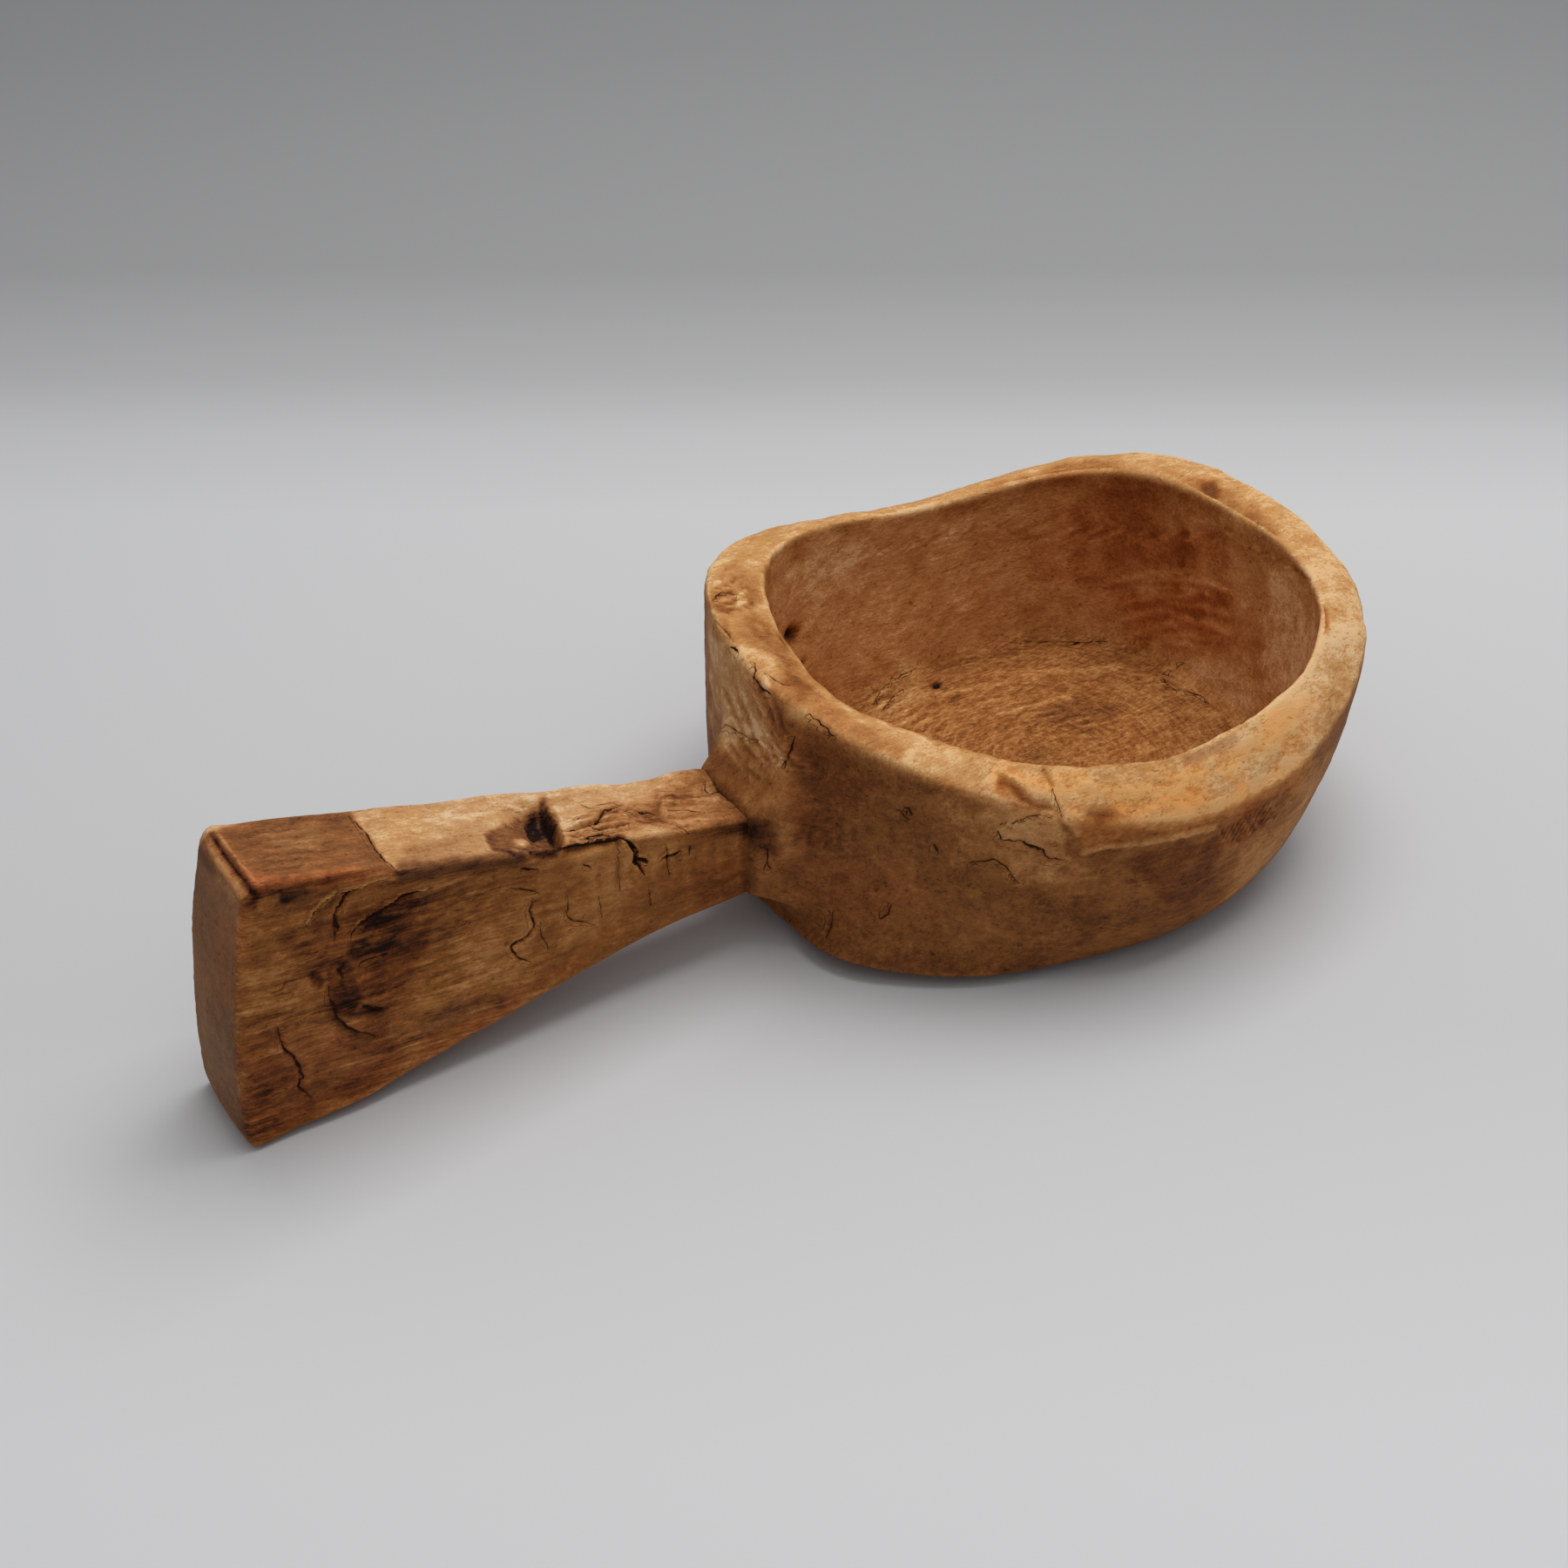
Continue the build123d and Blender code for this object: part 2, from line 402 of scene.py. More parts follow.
    def stain(self, zone, edge, change, corners, ragged=1.0):
        """A change inside a polygon of pixels: the signed distance to its sides is roughened and eased over
        its edge."""
        corners = np.array(corners, float)
        room = 2 * edge + self.stain_room
        low, high = corners.min(axis=0) - room, corners.max(axis=0) + room
        near = np.all((self.pixels > low) & (self.pixels < high), axis=-1)
        near &= (self.zones[zone] > 0.5) & (self.facing > self.least_stain_facing)
        places = self.pixels[near]
        gap = np.full(len(places), np.inf)
        inside = np.zeros(len(places), bool)
        for start, stop in zip(corners, np.roll(corners, -1, axis=0)):
            step = stop - start
            along = np.clip((places - start) @ step / (step @ step), 0, 1)
            gap = np.minimum(gap, np.linalg.norm(places - start - along[:, None] * step, axis=1))
            crossed = (start[1] > places[:, 1]) != (stop[1] > places[:, 1])
            slope = step[0] / step[1] if step[1] else 0.0
            inside ^= crossed & (places[:, 0] < start[0] + (places[:, 1] - start[1]) * slope)
        signed = np.where(inside, gap, -gap) + ragged * edge * self.rough[near]
        share = np.zeros(self.height.shape)
        share[near] = ease(signed, -edge, edge) * self.fade[near]
        self.mark(share, **change)

    def strokes(self, zone, start, stop, run, count, rise, reach, tone):
        """A row of tool marks: lines of about the same run of pixels, set out from start to stop, every other
        one the other way up."""
        for number in range(count):
            jitter = self.rng.uniform(-self.stroke_jitter, self.stroke_jitter)
            share = (number + jitter) / max(count - 1, 1)
            first = np.array(start) + share * (np.array(stop) - np.array(start))
            last = first + np.array(run) * self.rng.uniform(*self.stroke_runs)
            sign = 1 - 2 * (number % 2)
            line = self.trail([first, (first + last) / 2, last], zone, self.stroke_stray)
            self.fold(line, sign * rise, reach, sign * tone)

    def age(self, where, size, seed, count):
        """Blotches, and short checks along the grain at random places, on what the photograph hides."""
        hidden = where * (self.facing < self.hidden_facing)
        self.tone += self.blotch_tone * layered_noise(self.points, size, seed, 2) * hidden
        places = self.points[hidden > 0.5]
        for start in places[self.rng.integers(0, len(places), count)]:
            length = self.rng.uniform(*self.check_lengths)
            steps = np.linspace(-0.5, 0.5, self.check_points)[:, None] * length
            stray = self.rng.normal(0, self.check_stray, (self.check_points, 3))
            line = start + steps * self.check_heading + stray
            gaps = ((places[None] - line[:, None]) ** 2).sum(axis=-1)
            half_width = self.rng.uniform(*self.check_half_widths)
            depth = self.rng.uniform(*self.check_depths)
            self.split(places[gaps.argmin(axis=1)], half_width, depth)

    def raised(self):
        """The grid, moved out along its normals by its height."""
        return self.points + self.normals * self.height[..., None]

    def wear(self):
        """Proud edges wear paler and hollows gather dirt: how far a point stands out from its neighbours, a
        few steps away along the rows and the columns."""
        grid = self.raised()
        for step, share in self.wear_steps:
            ahead = np.concatenate([grid[step:], np.repeat(grid[-1:], step, axis=0)])
            behind = np.concatenate([np.repeat(grid[:1], step, axis=0), grid[:-step]])
            sides = np.roll(grid, step, axis=1) + np.roll(grid, -step, axis=1)
            proud = ((grid - (ahead + behind + sides) / 4) * self.normals).sum(axis=-1)
            self.tone += share * np.clip(proud, *self.wear_limits)

    def build(self, name):
        """Mesh of the raised grid, nowhere below the table, with a fan of triangles at each pole."""
        grid = self.raised()
        grid[..., 2] = np.maximum(grid[..., 2], 0.0)
        rows, columns = grid.shape[:2]
        poles = np.stack([grid[0].mean(axis=0), grid[-1].mean(axis=0)])
        places = np.concatenate([grid.reshape(-1, 3), poles]) * MM
        number = np.arange(rows * columns).reshape(rows, columns)
        beside = np.roll(number, -1, axis=1)
        quads = np.stack([number[:-1], beside[:-1], beside[1:], number[1:]], axis=-1).reshape(-1, 4)
        first, last = rows * columns, rows * columns + 1
        fans = np.concatenate([
            np.stack([np.full(columns, first), beside[0], number[0]], axis=1),
            np.stack([number[-1], beside[-1], np.full(columns, last)], axis=1),
        ])
        corners = np.concatenate([quads.reshape(-1), fans.reshape(-1)])
        sizes = np.concatenate([np.full(len(quads), 4), np.full(len(fans), 3)])
        mesh = bpy.data.meshes.new(name)
        mesh.vertices.add(len(places))
        mesh.vertices.foreach_set("co", places.ravel())
        mesh.loops.add(len(corners))
        mesh.loops.foreach_set("vertex_index", corners)
        mesh.polygons.add(len(sizes))
        mesh.polygons.foreach_set("loop_start", np.concatenate([[0], np.cumsum(sizes)[:-1]]))
        mesh.polygons.foreach_set("use_smooth", np.ones(len(sizes), bool))
        mesh.update(calc_edges=True)
        mesh.validate()
        for label in self.finish_labels:
            values = getattr(self, label)
            poles = [values[0].mean(), values[-1].mean()]
            layer = mesh.attributes.new(label, "FLOAT", "POINT")
            layer.data.foreach_set("value", np.concatenate([values.reshape(-1), poles]).astype(np.float32))
        piece = bpy.data.objects.new(name, mesh)
        bpy.context.scene.collection.objects.link(piece)
        return piece


# Bowl

bowl_seed = 11
bowl_columns = 400
column_bias = 0.45
column_focus = radians(250)
base_rows, wall_rows, rim_rows, inner_rows, floor_rows = 14, 92, 36, 60, 46
wall_row_power = 1.5
corner_passes = 8

# Zones of the bowl: rows about the start of the rim, the hollow or the floor between which each comes in
rim_comes = (-5, 1)
hollow_comes = (-2, 4)
lip_comes = (-9, -1)
lip_goes = (4, 12)
floor_comes = (-6, 3)
outside_stops = -4
inside_starts = -6

# Zones of the bowl: heights over which the carving comes in and the dark foot of the wall goes
carving_heights = (1, 9)
foot_heights = (4, 13)
least_pitting = 0.4


def bowl_skin():
    """Polar grid from the middle of the base up the outer wall, over the rim, down the hollow and across the
    floor. Outer wall: the radius grows from the base outline to the rim outline by
    (1 - (1 - u)^rise)^(1 / round), with u the share of the height. The rim runs straight with a slight crown,
    and the hollow draws in evenly with a slight barrel. Columns stand closer on the near side."""
    turn = np.arange(bowl_columns) / bowl_columns * tau
    angle = turn - column_bias * np.sin(turn - column_focus)
    rim = outline(rim_reach, rim_squares, angle)
    base = outline(base_reach, base_squares, angle) + swells(angle, base_swells)
    lift = waves(angle, *base_lift) + swells(angle, lift_swells)
    crest = waves(angle, *crest_height)
    ridge = crest - waves(angle, *ridge_drop)
    mouth = rim - waves(angle, *wall_thickness) - swells(angle, wall_swells)
    floor_edge = mouth - hollow_draw

    counts = (base_rows, wall_rows, rim_rows, inner_rows, floor_rows)
    out, up, over, down, inward = (np.linspace(0, 1, rows + 1)[1:, None] for rows in counts)
    up = up**wall_row_power
    inward = inward[:-1]
    grown = (1 - (1 - up) ** waves(angle, *belly_rise)) ** (1 / belly_round)
    radius = np.concatenate([
        base * out,
        base + (rim - base) * grown,
        rim + (mouth - rim) * over,
        mouth + (floor_edge - mouth) * down + hollow_barrel * arch(down),
        floor_edge * (1 - inward),
    ])
    height = np.concatenate([
        lift * ease(out, *base_rest),
        lift + (ridge - lift) * up,
        ridge + (crest - ridge) * over + rim_crown * arch(over),
        crest + (floor_height - crest) * down,
        (floor_height - floor_dish * (1 - (1 - inward) ** 2)) * np.ones_like(angle),
    ])
    points = np.stack([radius * np.cos(angle), radius * np.sin(angle), height], axis=-1)
    points = soften(points, corner_passes)
    x, y, z = points[..., 0], points[..., 1], points[..., 2]

    row = np.arange(len(points))[:, None] * np.ones((1, bowl_columns))
    wall_start, rim_start, hollow_start, floor_start, _ = np.cumsum(counts)

    def past(start, rows):
        """Comes in over some rows about the start of a stretch."""
        return ease(row, start + rows[0], start + rows[1])

    hollow = past(hollow_start, hollow_comes)
    shell = 1 - hollow
    rim_zone = past(rim_start, rim_comes) * shell
    floor = past(floor_start, floor_comes)
    wall = ((row >= wall_start) & (row < rim_start)).astype(float)
    carved = ease(z, *carving_heights)

    # The back wall flares out to the seat of the handle
    proud = neck_proud + neck_stray * layered_noise(points, *neck_noise)
    across = np.maximum(np.abs(y) - neck_width / 2 - proud, 0) / np.where(y < 0, flare_near, flare_far)
    above = np.maximum(z - neck_top - proud, 0) / flare_top
    below = np.maximum(neck_under - proud - z, 0) / flare_under
    away = np.clip(np.sqrt(across**2 + above**2 + below**2), 0, 1)
    neck = (1 - away) ** flare_power * (x < flare_limit_x) * (row < rim_start)
    points[..., 0] -= (x - seat_x) * neck

    zones = {
        "outside": (row < hollow_start + outside_stops).astype(float),
        "inside": (row >= hollow_start + inside_starts).astype(float),
        "shell": shell,
        "outer": shell * (1 - rim_zone),
        "carved_shell": shell * carved,
        "carved_wall": wall * carved,
        "foot": wall * (1 - ease(z, *foot_heights)),
        "pitted": least_pitting + (1 - least_pitting) * carved,
        "rim": rim_zone,
        "rim_top": rim_zone * shell,
        "lip": past(hollow_start, lip_comes) * (1 - past(hollow_start, lip_goes)),
        "hollow": hollow,
        "inner_wall": hollow * (1 - floor),
        "floor": floor,
        "neck": neck,
        "angle": np.ones((len(points), 1)) * (angle % tau),
    }
    return Skin(points, zones, bowl_seed)


# Splits of the bowl: zone, pixels, half width and depth
bowl_splits = {
    "rim_crack": ("outside", [(1208, 906), (1214, 924), (1219, 937)], 0.09, 0.5),
    "left_crack": ("outside", [(825, 845), (833, 832), (838, 835), (849, 841), (860, 848),
        (872, 850)], 0.16, 0.5),
    "flake_edge": ("outside", [(1146, 951), (1149, 962), (1174, 964), (1185, 970), (1197, 974), (1202, 983),
        (1223, 985)], 0.34, 0.7),
    "flake_top": ("outside", [(1149, 945), (1164, 942), (1182, 937), (1207, 936)], 0.08, 0.3),
    "plate_edge": ("outside", [(1097, 990), (1118, 990), (1141, 986), (1154, 993), (1164, 1007),
        (1174, 1014)], 0.14, 0.3),
    "check_a": ("outside", [(1031, 931), (1037, 936), (1044, 942)], 0.24, 0.5),
    "check_b": ("outside", [(1037, 927), (1043, 931), (1048, 938)], 0.24, 0.5),
    "check_c": ("outside", [(1071, 970), (1077, 981)], 0.22, 0.5),
    "check_d": ("outside", [(1024, 1039), (1020, 1049), (1008, 1057)], 0.18, 0.4),
    "check_e": ("outside", [(957, 1043), (955, 1061), (948, 1077)], 0.18, 0.4),
    "seam_check": ("outside", [(880, 972), (884, 986), (885, 999)], 0.15, 0.4),
    "knot_crack": ("inside", [(878, 711), (886, 720), (893, 732)], 0.14, 0.3),
    "knot_twin": ("inside", [(884, 700), (891, 716), (899, 730)], 0.12, 0.3),
    "floor_fork": ("inside", [(1329, 774), (1346, 791), (1375, 795), (1396, 816)], 0.16, 0.4),
    "fork_arm": ("inside", [(1364, 757), (1350, 768), (1334, 780)], 0.12, 0.3),
    "floor_seam": ("inside", [(1156, 736), (1181, 736), (1224, 738), (1274, 736)], 0.12, 0.3),
    "floor_arc": ("inside", [(1000, 812), (1010, 795), (1024, 780), (1050, 768)], 0.12, 0.3),
    "floor_arc_twin": ("inside", [(1012, 818), (1024, 800), (1042, 788)], 0.12, 0.3),
    "rim_left_check": ("outside", [(815, 690), (824, 680), (838, 676), (846, 684)], 0.16, 0.4),
    "ridge_hole": ("outside", [(838, 742), (843, 745), (848, 750)], 0.4, 0.7),
    "ridge_line": ("outside", [(820, 712), (832, 722), (842, 736)], 0.16, 0.4),
    "left_mark": ("outside", [(866, 764), (868, 780), (876, 792), (885, 796)], 0.30, 0.7),
    "left_edge_a": ("outside", [(880, 776), (893, 785), (906, 791)], 0.10, 0.4),
    "left_tear": ("outside", [(918, 842), (912, 862), (905, 884)], 0.26, 0.8),
    "left_scar": ("outside", [(930, 822), (946, 834), (962, 848)], 0.16, 0.5),
}

# Ridges and valleys of the bowl: zone, pixels, rise, reach and tone
bowl_folds = {
    "left_facet": ("outside", [(905, 785), (912, 830), (907, 879), (899, 930),
        (895, 1000)], 2.0, 7.0, 0.03),
    "near_ridge": ("outside", [(1238, 980), (1269, 970), (1310, 968), (1350, 960),
        (1396, 948)], 0.8, 1.4, 0.20),
    "under_ridge": ("outside", [(1240, 996), (1300, 984), (1361, 976), (1400, 968)], -0.5, 5.0, -0.03),
    "rim_crack_line": ("outside", [(1195, 876), (1202, 891), (1208, 906)], -0.3, 0.9, -0.22),
    "ravine_line": ("outside", [(1140, 894), (1162, 902), (1176, 917), (1190, 925),
        (1210, 926)], -0.9, 2.2, -0.13),
    "rim_crack_ridge": ("outside", [(1219, 937), (1228, 946), (1241, 960)], 0.4, 1.4, 0.10),
    "floor_ridge": ("inside", [(1139, 820), (1173, 816), (1207, 804), (1236, 799)], 0.5, 2.0, 0.12),
    "floor_ridge_far": ("inside", [(1050, 800), (1120, 790), (1200, 772), (1290, 765)], 0.35, 2.5, 0.07),
    "flat_edge_left": ("inside", [(1098, 590), (1096, 660), (1100, 740)], 0.4, 7.0, 0.03),
    "flat_edge_right": ("inside", [(1215, 560), (1225, 640), (1232, 700)], 0.4, 7.0, 0.04),
    "flat_edge_corner": ("inside", [(1372, 575), (1378, 640), (1385, 690)], 0.5, 7.0, 0.04),
    "left_splinter": ("outside", [(911, 838), (905, 858), (899, 882)], 0.7, 1.1, 0.24),
    "inner_lip": ("outside", [(1147, 864), (1178, 873), (1230, 882), (1290, 884)], 0.3, 1.4, 0.08),
}

# Stains, worn patches, broken plates, painted shadows and a painted highlight of the bowl by zone: width of
# the edge in pixels, what changes, the corners in pixels and, where it is not 1, how ragged the edge is
bowl_stains = {
    "outside": {
        "facet_stain": (10, dict(tone=-0.08, warm=0.25), [(908, 838), (935, 845), (965, 868), (1000, 885),
            (1026, 893), (1020, 908), (985, 915), (972, 955), (945, 972), (915, 960), (905, 900)]),
        "seam_stain": (7, dict(tone=-0.27, warm=0.1), [(862, 942), (880, 940), (894, 955), (890, 974),
            (862, 972)]),
        "left_face": (14, dict(tone=0.37), [(796, 700), (850, 730), (895, 775), (890, 850), (822, 860)]),
        "left_fan": (6, dict(tone=-0.12, warm=0.1), [(852, 758), (872, 768), (900, 800), (915, 830),
            (908, 862), (890, 850), (872, 812), (858, 785)]),
        "left_corner_gold": (5, dict(tone=0.12), [(868, 858), (905, 846), (909, 882), (895, 908),
            (876, 885)]),
        "left_face_low": (12, dict(tone=0.10), [(822, 850), (900, 820), (905, 880), (880, 930),
            (858, 932)]),
        "flake": (2.6, dict(tone=0.05, rise=0.45), [(1147, 950), (1164, 942), (1182, 937), (1207, 936),
            (1222, 955), (1226, 985), (1203, 982), (1197, 974), (1185, 970), (1174, 964),
            (1150, 962)], 1.8),
        "plate": (9, dict(tone=0.05, rise=0.4), [(1097, 989), (1118, 989), (1141, 985), (1154, 992),
            (1164, 1006), (1174, 1013), (1215, 1012), (1232, 985), (1222, 950), (1150, 930), (1095, 940)]),
        "ravine": (5, dict(tone=-0.17, grey=0.04, rise=-0.8), [(1150, 893), (1164, 900), (1177, 914),
            (1192, 925), (1213, 925), (1218, 937), (1185, 934), (1165, 926), (1148, 908)]),
        "under_ridge_gold": (9, dict(tone=0.07), [(1180, 992), (1240, 985), (1288, 990), (1282, 1010),
            (1200, 1020)]),
        "ridge_shadow": (7, dict(tone=-0.13, warm=0.2), [(1290, 984), (1310, 976), (1350, 968), (1400, 957),
            (1400, 975), (1390, 1010), (1365, 1042), (1330, 1028), (1312, 1008)]),
        "low_smear": (12, dict(tone=-0.07), [(1180, 1040), (1290, 1040), (1340, 1035), (1400, 1010),
            (1405, 1035), (1370, 1062), (1250, 1070)]),
        "torn_grain": (5, dict(tone=-0.10, warm=0.4), [(1404, 955), (1420, 935), (1445, 918), (1458, 925),
            (1450, 950), (1425, 968), (1405, 970)]),
        "right_gold": (11, dict(tone=0.18), [(1415, 975), (1460, 950), (1510, 880), (1532, 870),
            (1500, 960), (1440, 1040), (1405, 1060)]),
        "gold_band": (14, dict(tone=0.10), [(1050, 905), (1140, 925), (1235, 945), (1245, 985),
            (1215, 1012), (1165, 1008), (1150, 988), (1095, 985), (1080, 940)]),
        "low_red": (20, dict(tone=0.01, warm=0.3, grey=0.07), [(885, 1000), (925, 985), (1040, 980),
            (1060, 1040), (1010, 1075), (960, 1070), (915, 1045)]),
        "low_gold": (18, dict(tone=0.05), [(1100, 1050), (1180, 1060), (1170, 1090), (1090, 1085)]),
        "rim_left_pits": (5, dict(tone=-0.30, rise=-0.4), [(814, 674), (830, 664), (846, 678), (848, 694),
            (830, 700), (812, 695)]),
        "ridge_pits": (5, dict(tone=-0.24, rise=-0.3), [(814, 704), (835, 712), (850, 738), (844, 754),
            (822, 735)]),
        "rim_back_brown": (10, dict(tone=-0.10), [(880, 650), (915, 612), (1000, 598), (1080, 575),
            (1090, 584), (990, 612), (925, 632), (895, 668)]),
        "rim_left_brown": (10, dict(tone=-0.15), [(850, 660), (880, 650), (878, 700), (905, 750),
            (940, 790), (925, 792), (880, 750), (855, 705)]),
        # Painted highlight: the right end of the rim lighter and whiter
        "rim_right_highlight": (16, dict(tone=0.08, grey=0.05), [(1528, 690), (1552, 700), (1558, 740),
            (1540, 790), (1500, 830), (1490, 800), (1525, 720)]),
        "rim_high_gold": (9, dict(tone=-0.13), [(818, 662), (848, 626), (890, 603), (905, 614), (868, 640),
            (838, 672)]),
        "rim_left_gold": (9, dict(tone=-0.19), [(822, 694), (860, 682), (886, 740), (932, 790), (918, 814),
            (880, 800), (845, 762), (818, 718)]),
        "rim_left_edge": (7, dict(tone=-0.08), [(860, 752), (905, 786), (930, 812), (905, 822),
            (870, 790)]),
        "rim_top_brown": (7, dict(tone=-0.24), [(1170, 552), (1215, 530), (1265, 524), (1290, 532),
            (1270, 545), (1215, 553)]),
        "rim_corner_brown": (9, dict(tone=-0.28), [(1340, 542), (1400, 550), (1445, 580), (1470, 615),
            (1445, 618), (1410, 590), (1370, 562)]),
        "bevel_shadow": (7, dict(tone=-0.14), [(1005, 872), (1060, 890), (1104, 897), (1112, 905),
            (1104, 914), (1040, 904)]),
        "rim_near_brown": (6, dict(tone=-0.16, warm=0.1), [(905, 772), (930, 788), (985, 832), (1040, 862),
            (1034, 876), (975, 856), (920, 815), (898, 788)]),
        "bevel_orange": (12, dict(tone=-0.06, warm=0.15), [(1080, 900), (1140, 915), (1250, 950),
            (1330, 946), (1410, 925), (1480, 880), (1535, 800), (1520, 790), (1470, 860), (1400, 905),
            (1300, 930), (1220, 920)]),
        "bevel_gold": (16, dict(tone=0.07, warm=0.34, grey=-0.15), [(1120, 880), (1230, 895), (1330, 890),
            (1430, 850), (1500, 800), (1520, 790), (1470, 860), (1400, 905), (1300, 930), (1220, 920)]),
        "bevel_low": (8, dict(tone=0.13, warm=0.25, grey=-0.12), [(1228, 940), (1300, 928), (1400, 912),
            (1450, 885), (1500, 868), (1490, 905), (1440, 925), (1400, 946), (1340, 958), (1250, 975)]),
        "bevel_grey": (5, dict(tone=-0.14, grey=0.25), [(1355, 868), (1390, 856), (1420, 843), (1425, 851),
            (1390, 868), (1362, 878)]),
        "rim_right_red": (4, dict(tone=-0.35, warm=0.5), [(1512, 694), (1524, 698), (1526, 722),
            (1514, 728)]),
        "rim_swirl": (4, dict(tone=-0.20, warm=0.3, rise=-0.5), [(1376, 552), (1392, 548), (1402, 560),
            (1396, 572), (1382, 568)]),
        "rim_far_torn": (4, dict(tone=-0.14, warm=0.2), [(1122, 562), (1150, 555), (1174, 553),
            (1172, 560)]),
    },
    "inside": {
        "back_right_dark": (38, dict(tone=-0.16, warm=0.40, grey=0.03), [(1219, 560), (1300, 545),
            (1350, 575), (1372, 650), (1345, 660), (1280, 665), (1225, 640)]),
        "back_corner_dark": (24, dict(tone=-0.17, warm=0.2), [(1345, 610), (1380, 630), (1410, 700),
            (1370, 700)]),
        "floor_left_pale": (12, dict(tone=0.17, warm=-0.1), [(1000, 800), (1020, 775), (1060, 765),
            (1070, 785), (1040, 815), (1010, 822)]),
        "floor_right_pale": (16, dict(tone=0.16), [(1340, 770), (1430, 760), (1440, 810), (1390, 830),
            (1355, 800)]),
        "far_left_pale": (22, dict(tone=0.13), [(885, 645), (960, 600), (1080, 570), (1092, 610),
            (985, 645), (905, 690)]),
        "ripple_dark": (14, dict(tone=-0.10, warm=0.35), [(1285, 690), (1330, 670), (1410, 680),
            (1420, 740), (1350, 745), (1290, 735)]),
        "right_wall_pale": (14, dict(tone=0.17, warm=0.05), [(1455, 650), (1500, 640), (1516, 700),
            (1510, 780), (1470, 815), (1450, 760)]),
        "floor_dark": (6, dict(tone=-0.10, grey=0.05), [(1190, 818), (1235, 803), (1280, 803), (1292, 818),
            (1240, 834), (1195, 832)]),
        "left_wall_pale": (20, dict(tone=0.04), [(900, 660), (985, 620), (1010, 700), (960, 760),
            (915, 740)]),
    },
}

# Small round marks of the bowl by zone
bowl_spots = {
    "outside": {
        "oval_stain": dict(middle=(1266, 937), radii=(19, 8), tilt=-4, tone=-0.46, grey=0.1, ragged=0.5),
        "bevel_hollow": dict(middle=(1266, 930), radii=(60, 18), rise=-0.5),
        "facet_hollow": dict(middle=(965, 905), radii=(36, 50), rise=-0.8),
        "rim_left_soft": dict(middle=(866, 756), radii=(34, 15), tilt=42, tone=-0.14),
        "rim_left_light": dict(middle=(838, 702), radii=(30, 26), tilt=40, tone=0.10),
        # Painted shade: darker where the near-left rim turns into the hollow
        "near_left_lip_shade": dict(middle=(905, 745), radii=(12, 26), tilt=-30, tone=-0.12),
        "rim_corner_dark": dict(middle=(1541, 800), radii=(22, 34), tilt=20, tone=-0.06),
        "under_flake": dict(middle=(1178, 942), radii=(36, 14), tone=0.12),
        "right_bevel_light": dict(middle=(1470, 880), radii=(70, 40), tilt=-48, tone=0.08),
        "near_band": dict(middle=(1400, 960), radii=(60, 40), tone=0.06),
    },
    "inside": {
        "knot": dict(middle=(910, 729), radii=(9, 11), tilt=35, tone=-0.75, rise=-2.0, ragged=0.6),
        "floor_far_light": dict(middle=(1225, 765), radii=(90, 22), tone=0.06),
        "floor_hole": dict(middle=(1075, 787), radii=(5, 3.5), tone=-0.9, rise=-1.6),
    },
}

# Rows of tool marks on the bowl: zone, first and last start, run, count, rise, reach and tone
bowl_strokes = {
    "left_facet": ("outside", (826, 790), (884, 782), (22, 54), 10, 0.30, 1.2, 0.13),
    "left_facet_low": ("outside", (830, 852), (892, 838), (38, 46), 11, 0.30, 1.2, 0.14),
    "stain_fringe": ("outside", (905, 955), (985, 945), (4, 34), 11, 0.08, 1.2, 0.06),
    "torn_grain": ("outside", (1398, 952), (1456, 920), (9, 20), 23, 0.30, 0.7, 0.17),
    "right_wall": ("inside", (1456, 700), (1512, 690), (-6, 70), 10, 0.12, 1.3, 0.05),
    "back_wall_scratches": ("inside", (985, 640), (1170, 590), (-30, 16), 18, 0.20, 0.8, 0.10),
    "back_wall_high": ("inside", (1180, 600), (1400, 610), (-34, 16), 16, 0.18, 0.8, 0.09),
    "floor_left": ("inside", (985, 800), (1060, 850), (30, -20), 16, 0.30, 0.9, 0.12),
    "floor_middle": ("inside", (1080, 800), (1240, 840), (44, -10), 18, 0.25, 1.0, 0.10),
    "floor_right": ("inside", (1270, 760), (1420, 830), (34, 10), 16, 0.25, 1.0, 0.10),
    "rim_left_curls": ("outside", (816, 668), (832, 702), (32, -9), 8, 0.30, 1.0, 0.22),
    "right_corner": ("inside", (1405, 610), (1480, 650), (26, 16), 10, 0.25, 0.9, 0.10),
    "rim_near": ("outside", (960, 812), (1100, 858), (30, 14), 8, 0.10, 1.4, 0.05),
}

# Carving of the bowl: broad facets, an uneven rim, a lumpy hollow and pits. Zone, rise, stretch of the grid,
# size, seed and layers
bowl_noises = (
    ("carved_shell", 0.7, 1, 38.0, 5, 2),
    ("rim", 0.5, 1, 9.0, 8, 3),
    ("hollow", 0.5, 1, 12.0, 9, 3),
    ("pitted", 0.12, 1, 2.6, 10, 2),
)

# Gouge cuts of the bowl: zone, depth, spacing, seed and the part of a scallop that stays in place
bowl_gouges = (
    ("carved_wall", 0.8, (26.0, 20.0, 24.0), 3, 0.3),
    ("inner_wall", 0.6, (16.0, 16.0, 60.0), 6, 0.0),
)

# Finish of the bowl's zones
bowl_grounds = {
    "outer": dict(tone=0.48, grey=0.07),
    "shell": dict(grain=0.30),
    "foot": dict(tone=-0.12),
    "rim": dict(fuzz=0.08),
    "rim_top": dict(tone=0.90, grain=-0.14),
    "hollow": dict(tone=0.82, warm=0.12, fuzz=0.30, grain=0.15),
    "floor": dict(tone=-0.225, warm=-0.12, fuzz=0.70),
}

